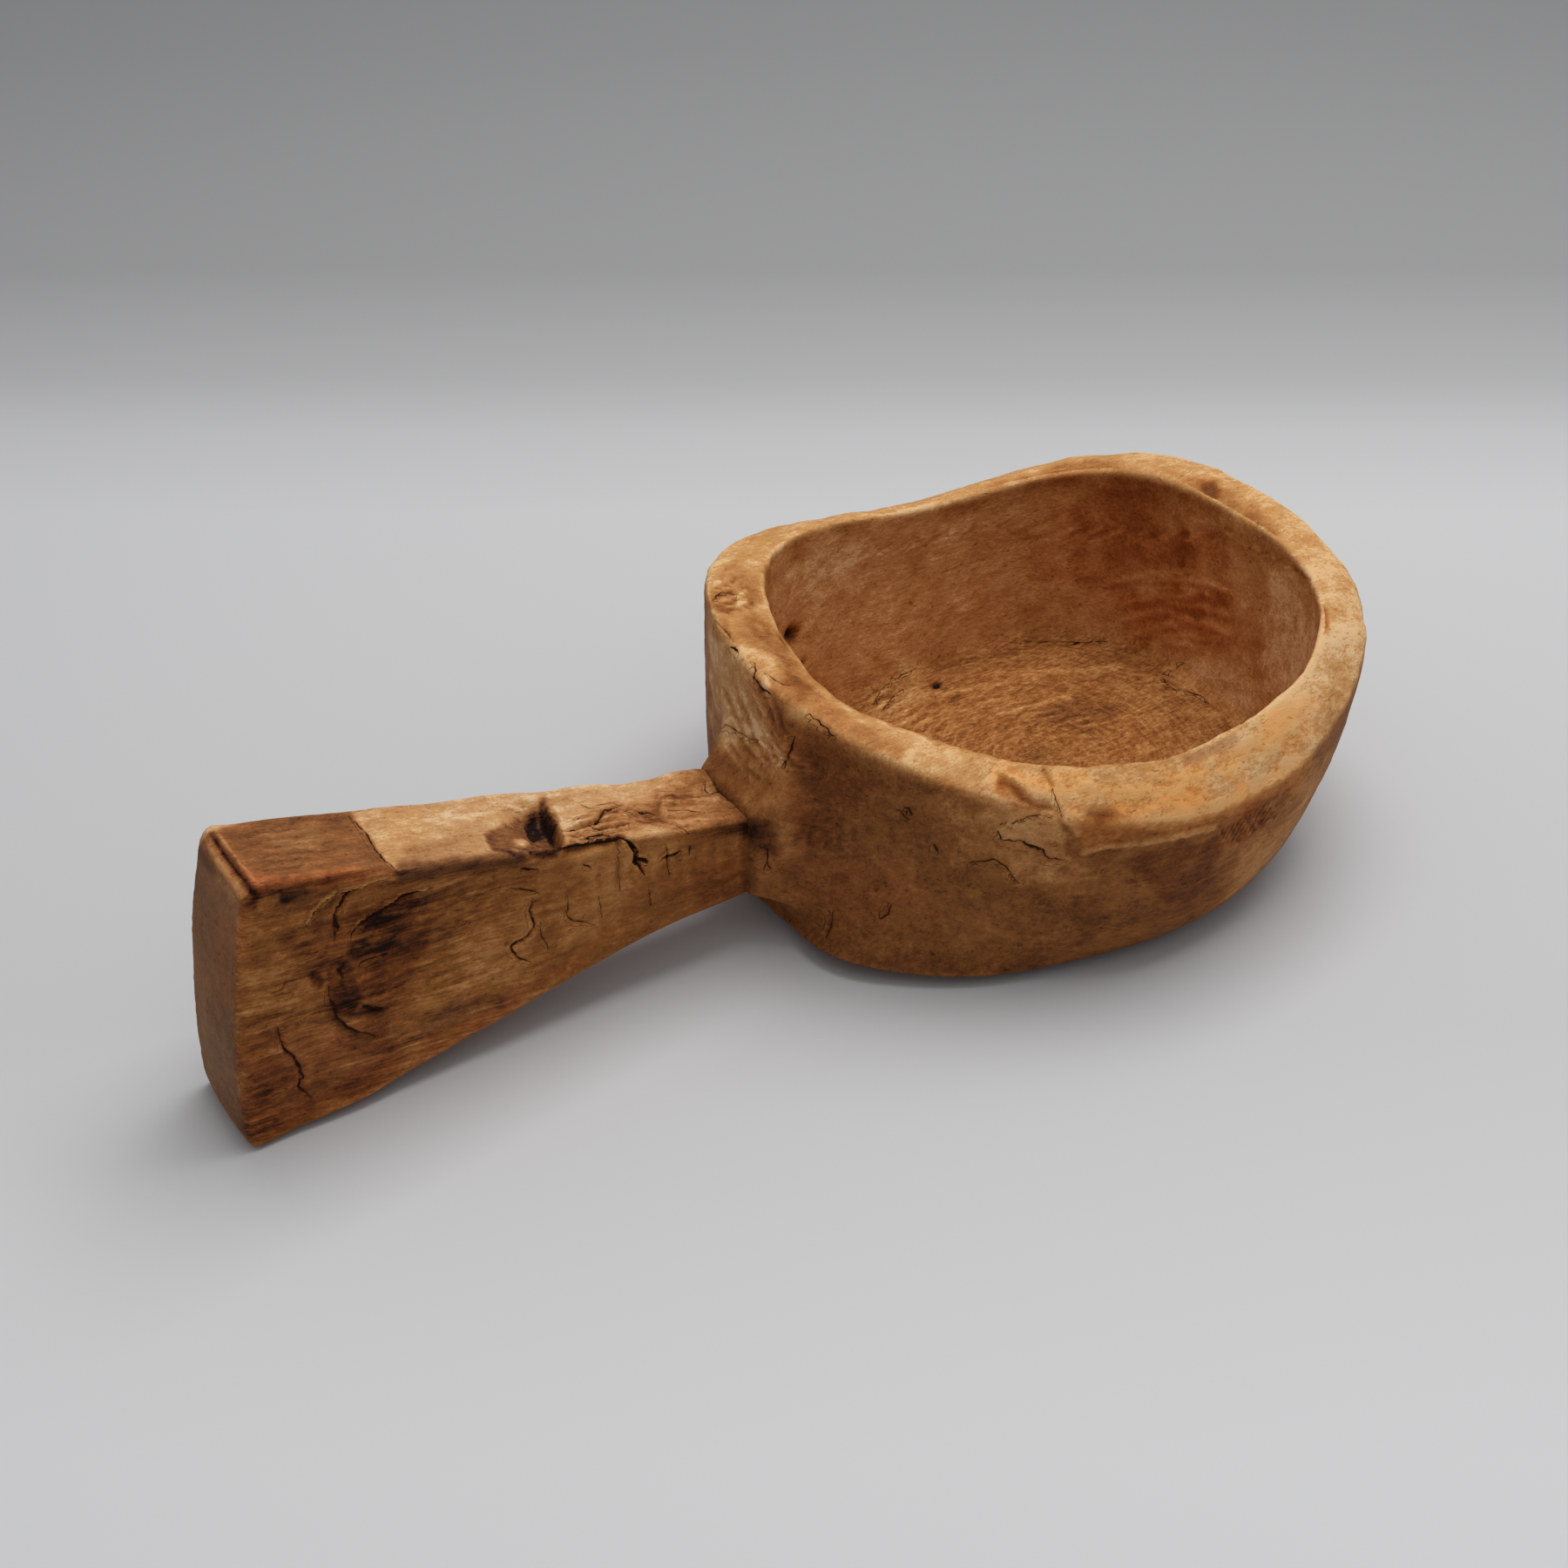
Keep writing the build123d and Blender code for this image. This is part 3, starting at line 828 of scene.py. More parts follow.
# Chatter of the gouge on the hollow's wall: arcs of pixels about a middle, which sway from one to the next,
# and the rise, reach and tone of their folds
ripple_middle = (1345, 850)
ripple_radii = range(112, 200, 9)
ripple_spread = radians(15)
ripple_sway = 0.25
ripple_beat = 2.7
ripple_points = 9
ripple_stray = 1.2
ripple_fold = (0.45, 1.5, 0.05)

# How far lines stray from the pixels that they follow
bowl_split_stray = 0.7
handle_split_stray = 0.6
ledge_stray = 0.5
fold_stray = 0.4

# Hidden sides of the bowl: lowest place of their marks, size and seed of the blotches, and count of checks
hidden_height = 6
bowl_age = (30.0, 41, 16)

# Painted shade in the crevice under the rim's inner edge, with more between two angles, and darker along the
# seam round the neck
lip_shade_tone = 0.11
lip_shade_tone_left = 0.17
lip_start = (radians(165), radians(190))
lip_stop = (radians(244), radians(268))
neck_seam_tone = 0.22
neck_seam = (0.80, 0.97)


def bowl():
    """The bowl: base shape, carved undulation, listed breaks and stains, painted shade and a painted
    highlight, and then generic breaks and stains on the hidden sides."""
    skin = bowl_skin()
    zones = skin.zones
    skin.carve(bowl_noises)
    for zone, depth, spacing, seed, level in bowl_gouges:
        skin.height -= depth * (gouge_scallops(skin.points, spacing, seed) - level) * zones[zone]
    for zone, change in bowl_grounds.items():
        skin.mark(zones[zone], **change)
    for zone, pixels, *form in bowl_splits.values():
        skin.split(skin.trail(pixels, zone, bowl_split_stray), *form)
    for zone, pixels, *form in bowl_folds.values():
        skin.fold(skin.trail(pixels, zone, fold_stray), *form)
    for number, radius in enumerate(ripple_radii):
        middle = -pi / 2 + ripple_sway * sin(ripple_beat * number)
        turns = np.linspace(middle - ripple_spread, middle + ripple_spread, ripple_points)
        arc = np.array(ripple_middle) + radius * np.stack([np.cos(turns), np.sin(turns)], axis=1)
        skin.fold(skin.trail(arc, "inside", ripple_stray), *ripple_fold)
    for row in bowl_strokes.values():
        skin.strokes(*row)
    for zone, stains in bowl_stains.items():
        for stain in stains.values():
            skin.stain(zone, *stain)
    for zone, spots in bowl_spots.items():
        for spot in spots.values():
            skin.spot(zone, **spot)
    skin.age(zones["outside"] * (skin.points[..., 2] > hidden_height), *bowl_age)
    skin.wear()
    # Painted shade in the crevice under the rim's inner edge, darkest on the near left
    near_left = ease(zones["angle"], *lip_start) * (1 - ease(zones["angle"], *lip_stop))
    skin.tone -= (lip_shade_tone + lip_shade_tone_left * near_left) * zones["lip"]
    skin.tone -= neck_seam_tone * ease(zones["neck"], *neck_seam)
    return skin


# Handle

handle_seed = 23
handle_rows, end_rows, shoulder_rows = 290, 34, 4
top_columns, far_columns, under_columns, near_columns, corner_columns = 56, 60, 36, 96, 8
profile_passes = 400

# Handle: how the rings close the end face, how small its first and last rings are, and the rows and the
# stretch along the handle over which its zones come in
ring_power = 1.3
last_ring = 0.005
first_ring = 0.02
face_comes = (2, 9)
face_calm = 0.6
worn_stretch = (140, 185)

# Sides and corners of the handle's section in turn, from the near edge of the top: columns, then the first
# and last share across and up, and the first and last direction of the corner's arc in degrees
section = (
    (top_columns, (-1, 1), (1, 1), (90, 90)),
    (corner_columns, (1, 1), (1, 1), (90, 0)),
    (far_columns, (1, 1), (1, -1), (0, 0)),
    (corner_columns, (1, 1), (-1, -1), (0, -90)),
    (under_columns, (1, -1), (-1, -1), (-90, -90)),
    (corner_columns, (-1, -1), (-1, -1), (-90, -180)),
    (near_columns, (-1, -1), (-1, 1), (180, 180)),
    (corner_columns, (-1, -1), (1, 1), (180, 90)),
)


def handle_skin():
    """Rounded rectangle carried from the seat to the end: each column has a place on the rectangle and a
    direction on its corner arcs. The end face leans out downwards and is crowned, its edge is an arc, and
    rings close it."""
    side_y, side_z, turn = (
        np.concatenate([np.linspace(*part[kind], part[0], endpoint=False) for part in section])
        for kind in (1, 2, 3)
    )
    lean = np.radians(turn)
    steps = np.linspace(0, 1, len(handle_top))
    share = np.linspace(0, 1, handle_rows)[:, None]
    width, top, under = (
        soften(np.interp(share, steps, values), profile_passes)
        for values in (handle_widths, handle_top, handle_under)
    )
    drift = handle_drift * (share + share**2) / 2
    middle_z, half_z, half_y = (top + under) / 2, (top - under) / 2, width / 2
    y = drift + side_y * (half_y - handle_corner) + handle_corner * np.cos(lean)
    z = middle_z + side_z * (half_z - handle_corner) + handle_corner * np.sin(lean)
    side_share = (z - under) / (top - under)
    y = y - foot_flare * share**2 * (1 - side_share) * np.clip((drift - y) / half_y, 0, 1)

    def face_x(y, z):
        """Where the end face lies: leaning out towards its foot, and crowned both ways."""
        high = (z - under[-1]) / (top[-1] - under[-1])
        wide = (y - drift[-1]) / half_y[-1]
        crown = end_crown * arch(high) + end_crown_across * (1 - wide**2)
        return seat_x - handle_length - end_tilt * (1 - high) - crown

    start_x = seat_x + handle_sink
    end_edge_z = under[-1] + side_share * (top[-1] - under[-1])
    x = start_x + share * (face_x(y[-1], end_edge_z) + end_round - start_x)

    inward = np.linspace(0, 1, end_rows + 1)[1:, None] ** ring_power
    scale = 1 - inward * (1 - last_ring)
    end_y = drift[-1] + (y[-1] - drift[-1]) * scale
    end_z = middle_z[-1] + (z[-1] - middle_z[-1]) * scale
    bend = np.clip((scale - end_round_share) / (1 - end_round_share), 0, 1)
    end_x = face_x(end_y, end_z) + end_round * (1 - np.sqrt(1 - bend**2))

    opening = np.linspace(first_ring, 1, shoulder_rows, endpoint=False)[:, None]
    shoulder_y = y[0] * opening
    shoulder_z = middle_z[0] + (z[0] - middle_z[0]) * opening
    shoulder_x = np.full_like(shoulder_y, start_x)
    points = np.stack([
        np.concatenate([shoulder_x, x, end_x]),
        np.concatenate([shoulder_y, y, end_y]),
        np.concatenate([shoulder_z, z, end_z]),
    ], axis=-1)

    row = np.arange(len(points))[:, None] * np.ones((1, len(lean)))
    face_row = shoulder_rows + handle_rows
    face = ease(row, face_row + face_comes[0], face_row + face_comes[1])
    whole = np.ones_like(face)
    shown = (row >= shoulder_rows).astype(float)
    upper = np.clip(np.sin(lean), 0, 1) * (1 - face)
    sides = (1 - np.abs(np.sin(lean))) * (1 - face)
    worn = ease(-points[..., 0], *worn_stretch)
    zones = {
        "whole": whole,
        "all": shown,
        "bar": shown * (1 - face_calm * face),
        "face": face,
        "top": upper,
        "worn_top": upper * worn,
        "sides": sides,
        "worn_sides": sides * worn,
    }
    return Skin(points, zones, handle_seed)


# Splits of the handle: pixels, half width and depth
handle_splits = {
    "end_split": ([(401, 936), (408, 944), (421, 953), (429, 969), (440, 985), (450, 996),
        (455, 1001)], 0.22, 0.8),
    "foot_crack": ([(318, 1178), (322, 1195), (328, 1206), (336, 1210), (343, 1224), (349, 1237),
        (343, 1250), (358, 1260)], 0.22, 0.9),
    "side_crack": ([(378, 1132), (382, 1152), (386, 1167), (397, 1178), (411, 1185),
        (434, 1189)], 0.22, 0.9),
    "first_arc": ([(394, 1023), (375, 1034), (361, 1048), (352, 1066)], 0.18, 0.6),
    "second_arc": ([(454, 1004), (425, 1015), (403, 1031), (391, 1047), (387, 1062),
        (387, 1082)], 0.26, 0.9),
    "third_arc": ([(496, 1028), (470, 1034), (445, 1047), (420, 1061), (409, 1071),
        (405, 1084)], 0.24, 0.8),
    "s_crack": ([(623, 1036), (614, 1038), (610, 1048), (615, 1059), (614, 1069), (605, 1080), (592, 1085),
        (589, 1091), (594, 1100), (603, 1104), (610, 1105)], 0.22, 0.8),
    "s_twin": ([(623, 1061), (623, 1076), (629, 1085), (631, 1091)], 0.13, 0.4),
    "hook_crack": ([(654, 1030), (655, 1043), (653, 1052), (658, 1058), (670, 1060),
        (683, 1062)], 0.12, 0.4),
    "black_crack": ([(715, 961), (724, 967), (728, 976), (733, 980), (729, 990), (737, 996),
        (740, 1005)], 0.55, 2.4),
    "black_lobe": ([(730, 985), (738, 990), (746, 992)], 0.6, 2.0),
    "slot": ([(644, 975), (661, 970), (681, 966), (700, 962), (718, 961)], 0.75, 2.4),
    "splinter_a": ([(646, 951), (662, 950), (683, 945), (691, 934), (699, 930), (713, 925)], 0.24, 1.0),
    "splinter_b": ([(677, 949), (690, 951), (709, 949), (722, 944)], 0.26, 1.0),
    "splinter_c": ([(716, 932), (726, 930), (734, 933), (752, 936)], 0.36, 1.2),
    "splinter_d": ([(670, 959), (681, 956), (700, 957)], 0.2, 0.8),
    "splinter_e": ([(656, 942), (666, 938)], 0.2, 0.6),
    "splinter_f": ([(683, 926), (700, 922), (716, 925)], 0.13, 0.5),
    "splinter_g": ([(705, 933), (714, 934), (724, 937)], 0.16, 0.5),
    "splinter_h": ([(668, 924), (675, 926), (682, 931)], 0.12, 0.4),
    "splinter_i": ([(650, 955), (668, 957), (690, 961)], 0.16, 0.6),
    "splinter_j": ([(729, 941), (738, 944), (748, 943)], 0.14, 0.5),
    "splinter_k": ([(655, 963), (668, 964), (681, 962)], 0.14, 0.5),
    "neck_top_a": ([(757, 918), (770, 915), (782, 918)], 0.13, 0.5),
    "neck_top_b": ([(765, 934), (785, 930), (806, 932)], 0.13, 0.5),
    "neck_top_c": ([(775, 944), (786, 950), (792, 958)], 0.13, 0.4),
    "check_long": ([(761, 987), (774, 984), (784, 978)], 0.3, 0.9),
    "check_cross": ([(766, 970), (768, 990), (769, 1008)], 0.14, 0.5),
    "check_small": ([(794, 971), (793, 983)], 0.2, 0.6),
    "side_check": ([(601, 1001), (620, 1001)], 0.26, 0.6),
    "side_line": ([(588, 1024), (603, 1025), (621, 1027)], 0.16, 0.5),
    "side_dash": ([(670, 994), (681, 999)], 0.16, 0.4),
    "neck_line_a": ([(711, 967), (712, 1006), (713, 1022)], 0.08, 0.3),
    "neck_line_b": ([(690, 1030), (692, 1054)], 0.1, 0.3),
    "neck_line_c": ([(747, 1022), (748, 1039)], 0.1, 0.3),
    "stain_check_a": ([(388, 1055), (389, 1064), (391, 1072)], 0.4, 0.9),
    "stain_check_b": ([(416, 1155), (428, 1158), (440, 1160)], 0.4, 0.9),
    "stain_check_c": ([(398, 1110), (392, 1118), (397, 1126)], 0.3, 0.8),
    "stain_check_d": ([(414, 1112), (424, 1106), (438, 1104)], 0.2, 0.6),
    "scale_chip": ([(809, 899), (809, 907), (816, 912), (824, 907), (823, 899)], 0.13, 0.4),
    "neck_crack": ([(819, 899), (828, 910), (840, 920)], 0.14, 0.4),
}

# Broken edges of the handle: the left of each line, as it runs, is raised or lowered over a reach. Pixels,
# rise, reach, and where they have one the tone of the left side and the painted shade of the cliff
handle_ledges = {
    "notch": ([(654, 980), (651, 967), (644, 950), (634, 934), (622, 913)], -4.8, 15.0, -0.06, -0.40),
    "scoop_arc": ([(640, 986), (560, 1000), (500, 1008), (451, 1012), (410, 1020), (388, 1029), (370, 1044),
        (354, 1066)], -1.8, 15.0, 0.0, -0.06),
    "inner_arc": ([(497, 1026), (480, 1026), (462, 1032), (440, 1049), (416, 1061),
        (407, 1070)], -0.9, 8.0, -0.03, -0.10),
    "side_crack": ([(434, 1189), (411, 1185), (397, 1178), (386, 1167),
        (380, 1140)], -0.8, 8.0, -0.04, -0.10),
    "foot_crack": ([(318, 1178), (328, 1206), (343, 1224), (347, 1250), (358, 1260)], 0.5, 6.0, 0.0, 0.0),
    "splinter_plate": ([(646, 952), (679, 946), (698, 932), (714, 925)], 0.7, 5.0, 0.0, 0.0),
    "splinter_low": ([(752, 937), (734, 934), (716, 933)], -0.7, 5.0, 0.0, -0.15),
    "slot": ([(718, 961), (700, 963), (681, 967), (661, 971), (644, 976)], -2.2, 4.0, -0.10, -0.38),
    "neck_step": ([(752, 905), (756, 925), (752, 945)], 0.8, 8.0, 0.0, 0.0),
    "end_step": ([(401, 934), (421, 953), (440, 985), (455, 1001)], -0.5, 6.0, 0.0, 0.0),
}

# Ridges and valleys of the handle: pixels, rise, reach and tone
handle_folds = {
    "near_edge": ([(300, 1016), (380, 1006), (455, 999), (550, 990), (640, 977)], 0.7, 3.0, -0.02),
    "end_groove": ([(243, 960), (258, 986), (275, 1008), (290, 1030)], -1.0, 1.5, -0.10),
    "end_lip": ([(249, 955), (264, 978), (281, 1000), (297, 1021)], 0.6, 1.2, 0.16),
    "end_lip_low": ([(237, 968), (252, 994), (268, 1018), (284, 1040)], 0.6, 1.2, 0.12),
    "scoop_lip": ([(352, 1064), (359, 1049), (371, 1035), (388, 1022)], 0.9, 0.9, 0.24),
    "scoop_lip_b": ([(402, 1029), (416, 1018), (437, 1009), (451, 1003)], 0.9, 0.9, 0.22),
    "inner_lip": ([(408, 1069), (416, 1061), (440, 1049), (462, 1032), (480, 1026),
        (497, 1026)], 0.7, 0.8, 0.16),
    "notch_ridge": ([(584, 973), (597, 977), (610, 982)], 0.4, 1.2, 0.30),
    "foot_edge": ([(358, 1292), (420, 1258), (500, 1215), (580, 1165), (660, 1110)], 0.3, 2.0, 0.08),
}

# Stains and worn patches of the handle: width of the edge in pixels, what changes, the corners in pixels and,
# where it is not 1, how ragged the edge is
handle_stains = {
    "end_zone": (3, dict(tone=-0.43, warm=0.12, grey=0.05), [(236, 955), (290, 935), (401, 930), (421, 953),
        (440, 985), (455, 1001), (400, 1006), (292, 1032)]),
    "end_edge": (5, dict(tone=-0.32, warm=0.15), [(226, 972), (243, 952), (262, 982), (298, 1026),
        (292, 1046), (262, 1024), (238, 995)]),
    "end_zone_orange": (6, dict(tone=0.09, warm=0.6), [(275, 1000), (340, 1003), (400, 1000), (450, 998),
        (452, 1008), (380, 1015), (295, 1028)]),
    "end_zone_pale": (9, dict(tone=0.10, warm=-0.2), [(300, 955), (360, 950), (375, 965), (320, 972)]),
    "ridge_band": (6, dict(tone=-0.34, grey=0.18), [(455, 992), (520, 985), (580, 977), (600, 976),
        (602, 990), (580, 996), (520, 1004), (455, 1012)]),
    "top_wisp": (6, dict(tone=-0.06), [(560, 925), (580, 921), (590, 935), (572, 946)]),
    "top_gold": (14, dict(grey=-0.1), [(420, 945), (480, 935), (500, 950), (470, 975), (450, 985)]),
    "top_mottle": (12, dict(tone=-0.13, grey=0.10), [(468, 966), (540, 957), (560, 970), (520, 985),
        (465, 992)]),
    "notch": (4, dict(tone=-0.44, warm=0.10, grey=0.14, fuzz=0.8, rise=-0.7), [(624, 916), (634, 934),
        (644, 950), (655, 976), (640, 986), (616, 984), (606, 972), (612, 954), (602, 943),
        (610, 929)], 1.6),
    "notch_tongue": (4, dict(tone=-0.44, warm=0.10, grey=0.14, fuzz=0.6, rise=-0.4), [(616, 922),
        (592, 932), (570, 947), (557, 964), (566, 974), (588, 979), (608, 980), (600, 974), (591, 969),
        (592, 962), (602, 958), (612, 964), (620, 945)], 1.6),
    "slot_dark": (2.2, dict(tone=-0.34, warm=0.2), [(642, 972), (660, 967), (690, 962), (718, 958),
        (720, 964), (700, 968), (668, 975), (645, 980)]),
    "splinter_field": (7, dict(tone=-0.24, warm=0.1, fuzz=0.6), [(648, 975), (645, 950), (700, 925),
        (755, 925), (760, 945), (715, 962)]),
    "neck_top": (14, dict(tone=-0.22, warm=0.1, fuzz=0.5), [(745, 905), (800, 890), (858, 938), (858, 955),
        (790, 965), (752, 950)]),
    "neck_end": (7, dict(tone=-0.10), [(825, 915), (858, 935), (858, 955), (835, 962), (815, 940)]),
    "neck_blotch": (5, dict(tone=-0.16), [(770, 911), (790, 910), (794, 922), (774, 925)]),
    "neck_smear": (5, dict(tone=-0.12), [(786, 972), (831, 957), (834, 964), (790, 980)]),
    "neck_side": (14, dict(tone=-0.10, warm=0.2), [(795, 990), (858, 968), (860, 1030), (805, 1045),
        (785, 1025)]),
    "neck_gold": (14, dict(tone=0.12), [(652, 980), (712, 968), (760, 960), (800, 965), (760, 1000),
        (680, 1015)]),
    "edge_spot": (3.5, dict(tone=-0.32), [(320, 1022), (345, 1018), (362, 1022), (350, 1032), (335, 1040),
        (322, 1036)]),
    "flame": (4, dict(tone=-0.30, grey=0.05), [(400, 1102), (402, 1088), (412, 1084), (430, 1086),
        (445, 1085), (462, 1083), (450, 1092), (430, 1100), (415, 1105)]),
    "flame_top": (6, dict(tone=-0.18), [(415, 1068), (425, 1058), (450, 1057), (477, 1062), (470, 1072),
        (420, 1079)]),
    "black_spot": (3.5, dict(tone=-0.36), [(357, 1122), (368, 1117), (377, 1128), (370, 1140),
        (358, 1136)]),
    "broken_patch": (4, dict(tone=-0.18, rise=-0.3), [(378, 1108), (400, 1103), (412, 1112), (408, 1128),
        (412, 1145), (405, 1158), (388, 1160), (380, 1140), (376, 1125)], 1.6),
    "low_wedge": (3, dict(tone=-0.26), [(385, 1158), (400, 1152), (430, 1156), (449, 1158), (430, 1166),
        (388, 1168)]),
    "flame_wide": (9, dict(tone=-0.10, warm=0.1), [(440, 1088), (500, 1085), (498, 1105), (470, 1128),
        (420, 1130)]),
    "stain_wide": (16, dict(tone=-0.12, warm=0.2), [(365, 1050), (470, 1030), (500, 1080), (470, 1150),
        (440, 1190), (385, 1180), (360, 1120)]),
    "foot_red": (12, dict(tone=-0.03, warm=0.15), [(276, 1195), (330, 1180), (420, 1195), (500, 1185),
        (440, 1235), (360, 1280), (290, 1310)]),
    "foot_dark": (14, dict(tone=-0.10, warm=0.2), [(275, 1200), (310, 1190), (335, 1235), (320, 1290),
        (280, 1300)]),
    "arc_dark": (10, dict(tone=-0.11), [(300, 1045), (350, 1030), (400, 1025), (380, 1060), (350, 1090),
        (310, 1085)]),
    "scoop_dark": (10, dict(tone=-0.09), [(440, 1035), (500, 1030), (560, 1035), (555, 1055), (515, 1085),
        (470, 1090), (430, 1070)]),
    "neck_gold_low": (12, dict(tone=0.11), [(640, 1030), (720, 1020), (735, 1055), (690, 1085),
        (645, 1085)]),
    "end_gold": (12, dict(tone=0.04), [(282, 1110), (320, 1098), (335, 1150), (305, 1190), (278, 1180)]),
    "side_gold": (14, dict(tone=0.13), [(520, 1095), (545, 1058), (610, 1055), (645, 1085), (612, 1128),
        (580, 1142), (532, 1138)]),
    "low_dark": (20, dict(tone=-0.06, warm=0.2, grey=0.16), [(276, 1200), (330, 1170), (430, 1172),
        (520, 1160), (590, 1150), (480, 1205), (380, 1250), (290, 1300)]),
    "low_purple": (6, dict(tone=-0.07, grey=0.18), [(482, 1178), (500, 1162), (530, 1152), (560, 1144),
        (582, 1142), (570, 1155), (545, 1166), (515, 1178), (488, 1186)]),
    "low_orange": (8, dict(tone=-0.02, warm=0.25), [(300, 1318), (400, 1265), (500, 1212), (600, 1150),
        (690, 1090), (700, 1070), (600, 1130), (500, 1190), (390, 1245), (300, 1300)]),
    "face_red": (14, dict(tone=0.04, warm=0.3), [(240, 1060), (275, 1050), (270, 1150), (245, 1150)]),
    "face_low": (14, dict(tone=-0.04, grey=0.40), [(235, 1170), (268, 1170), (272, 1280), (255, 1260)]),
}

# Hollows and swellings of the handle
handle_spots = {
    "near_scoop": dict(middle=(520, 1075), radii=(190, 55), tilt=-18, rise=-1.6),
    "neck_bump": dict(middle=(785, 893), radii=(36, 12), tilt=-8, rise=1.6),
    "near_swell": dict(middle=(310, 1150), radii=(30, 90), rise=0.6),
}

# Rows of tool marks on the handle: first and last start, run, count, rise, reach and tone
handle_strokes = {
    "end_zone": ((290, 950), (310, 1000), (80, -7), 12, 0.12, 0.8, 0.07),
    "stain": ((395, 1075), (420, 1165), (52, -16), 22, 0.16, 0.7, 0.07),
    "foot": ((284, 1190), (292, 1300), (44, -18), 24, 0.16, 0.7, 0.05),
    "middle": ((470, 1040), (500, 1150), (70, -26), 20, 0.12, 0.8, 0.06),
    "under_arc": ((300, 1050), (330, 1110), (46, -10), 14, 0.16, 0.8, 0.07),
    "splinters": ((655, 938), (668, 966), (52, -10), 9, 0.4, 0.9, 0.10),
    "neck_top": ((752, 905), (768, 950), (60, -8), 10, 0.2, 0.9, 0.08),
    "neck_side": ((680, 995), (845, 960), (2, 52), 19, 0.10, 1.1, 0.035),
}

# Carving of the handle: slow waves, fibres along the sides and a lumpy top. Zone, rise, stretch of the grid,
# size, seed and layers
handle_noises = (
    ("bar", 0.6, 1, 26.0, 15, 2),
    ("sides", 0.18, (0.14, 1, 1), 2.0, 16, 2),
    ("top", 0.25, 1, 6.0, 17, 2),
)

# Finish of the handle's zones
handle_grounds = {
    "whole": dict(tone=0.52, grain=0.22),
    "top": dict(tone=0.36, grey=0.15),
    "face": dict(tone=-0.06, grey=0.47, grain=-0.12),
    "worn_top": dict(grain=0.1),
    "worn_sides": dict(grain=0.50),
}

# Hidden sides of the handle: size and seed of the blotches, and count of checks
handle_age = (24.0, 42, 14)

# Darker along the seam at the bowl
handle_seam_tone = 0.20
handle_seam_run = 3.5


def handle():
    """The handle: base shape, carved undulation, the split and scooped grip, and then generic checks on the
    hidden sides."""
    skin = handle_skin()
    zones = skin.zones
    skin.carve(handle_noises)
    for zone, change in handle_grounds.items():
        skin.mark(zones[zone], **change)
    for pixels, *form in handle_splits.values():
        skin.split(skin.trail(pixels, "all", handle_split_stray), *form)
    for pixels, *form in handle_ledges.values():
        skin.ledge(skin.trail(pixels, "all", ledge_stray), *form)
    for pixels, *form in handle_folds.values():
        skin.fold(skin.trail(pixels, "all", fold_stray), *form)
    for row in handle_strokes.values():
        skin.strokes("all", *row)
    for stain in handle_stains.values():
        skin.stain("all", *stain)
    for spot in handle_spots.values():
        skin.spot("all", **spot)
    skin.age(zones["all"] * (1 - zones["face"]), *handle_age)
    skin.wear()
    skin.tone -= handle_seam_tone * ease(skin.points[..., 0], seat_x - handle_seam_run, seat_x)
    return skin


# Finishes

class Wire:
    """A socket in a material's node tree. Arithmetic on wires adds Math nodes, and node() adds any other."""

    def __init__(self, tree, socket=None):
        self.tree = tree
        self.socket = socket

    def node(self, kind, settings, inputs, output=0):
        """Adds a node of a kind: its settings first, then the values or links of its sockets."""
        made = self.tree.nodes.new(kind)
        for label, value in settings.items():
            if label == "stops":
                ramp = made.color_ramp
                for place, _ in value[2:]:
                    ramp.elements.new(place)
                for element, (place, colour) in zip(ramp.elements, sorted(value)):
                    element.position = place
                    element.color = opaque(colour)
            else:
                setattr(made, label, value)
        for label, value in inputs.items():
            if isinstance(value, Wire):
                self.tree.links.new(value.socket, made.inputs[label])
            else:
                made.inputs[label].default_value = value
        return Wire(self.tree, made.outputs[output] if made.outputs else None)

    def math(self, operation, *values):
        return self.node("ShaderNodeMath", {"operation": operation}, dict(enumerate(values)))

    def vector(self, operation, first, second=(0.0, 0.0, 0.0), output=0):
        return self.node("ShaderNodeVectorMath", {"operation": operation}, {0: first, 1: second}, output)

    def __add__(self, other):
        return self.math("ADD", self, other)

    def __sub__(self, other):
        return self.math("SUBTRACT", self, other)

    def __mul__(self, other):
        return self.math("MULTIPLY", self, other)

    __radd__ = __add__
    __rmul__ = __mul__

    def size(self):
        return self.math("ABSOLUTE", self)

    def between(self, low, high):
        """0 below low, 1 above high, with a smooth S between them; high may be the lower of the two."""
        settings = {"interpolation_type": "SMOOTHSTEP"}
        return self.node("ShaderNodeMapRange", settings, {"Value": self, "From Min": low, "From Max": high})

    def mixed(self, first, second, blend="MIX"):
        """Colour that goes from first to its blend with second as this value goes from 0 to 1."""
        settings = {"data_type": "RGBA", "blend_type": blend, "clamp_factor": False}
        return self.node("ShaderNodeMix", settings, {0: self, 6: first, 7: second}, 2)


def opaque(colour):
    return (*colour, 1.0)


def new_finish(name):
    """An empty material, and a wire to build its nodes with."""
    finish = bpy.data.materials.new(name)
    finish.use_nodes = True
    finish.node_tree.nodes.clear()
    return finish, Wire(finish.node_tree)


def surface(wire, inputs):
    """Ends a material with a shader."""
    wire.node("ShaderNodeOutputMaterial", {}, {"Surface": wire.node("ShaderNodeBsdfPrincipled", {}, inputs)})


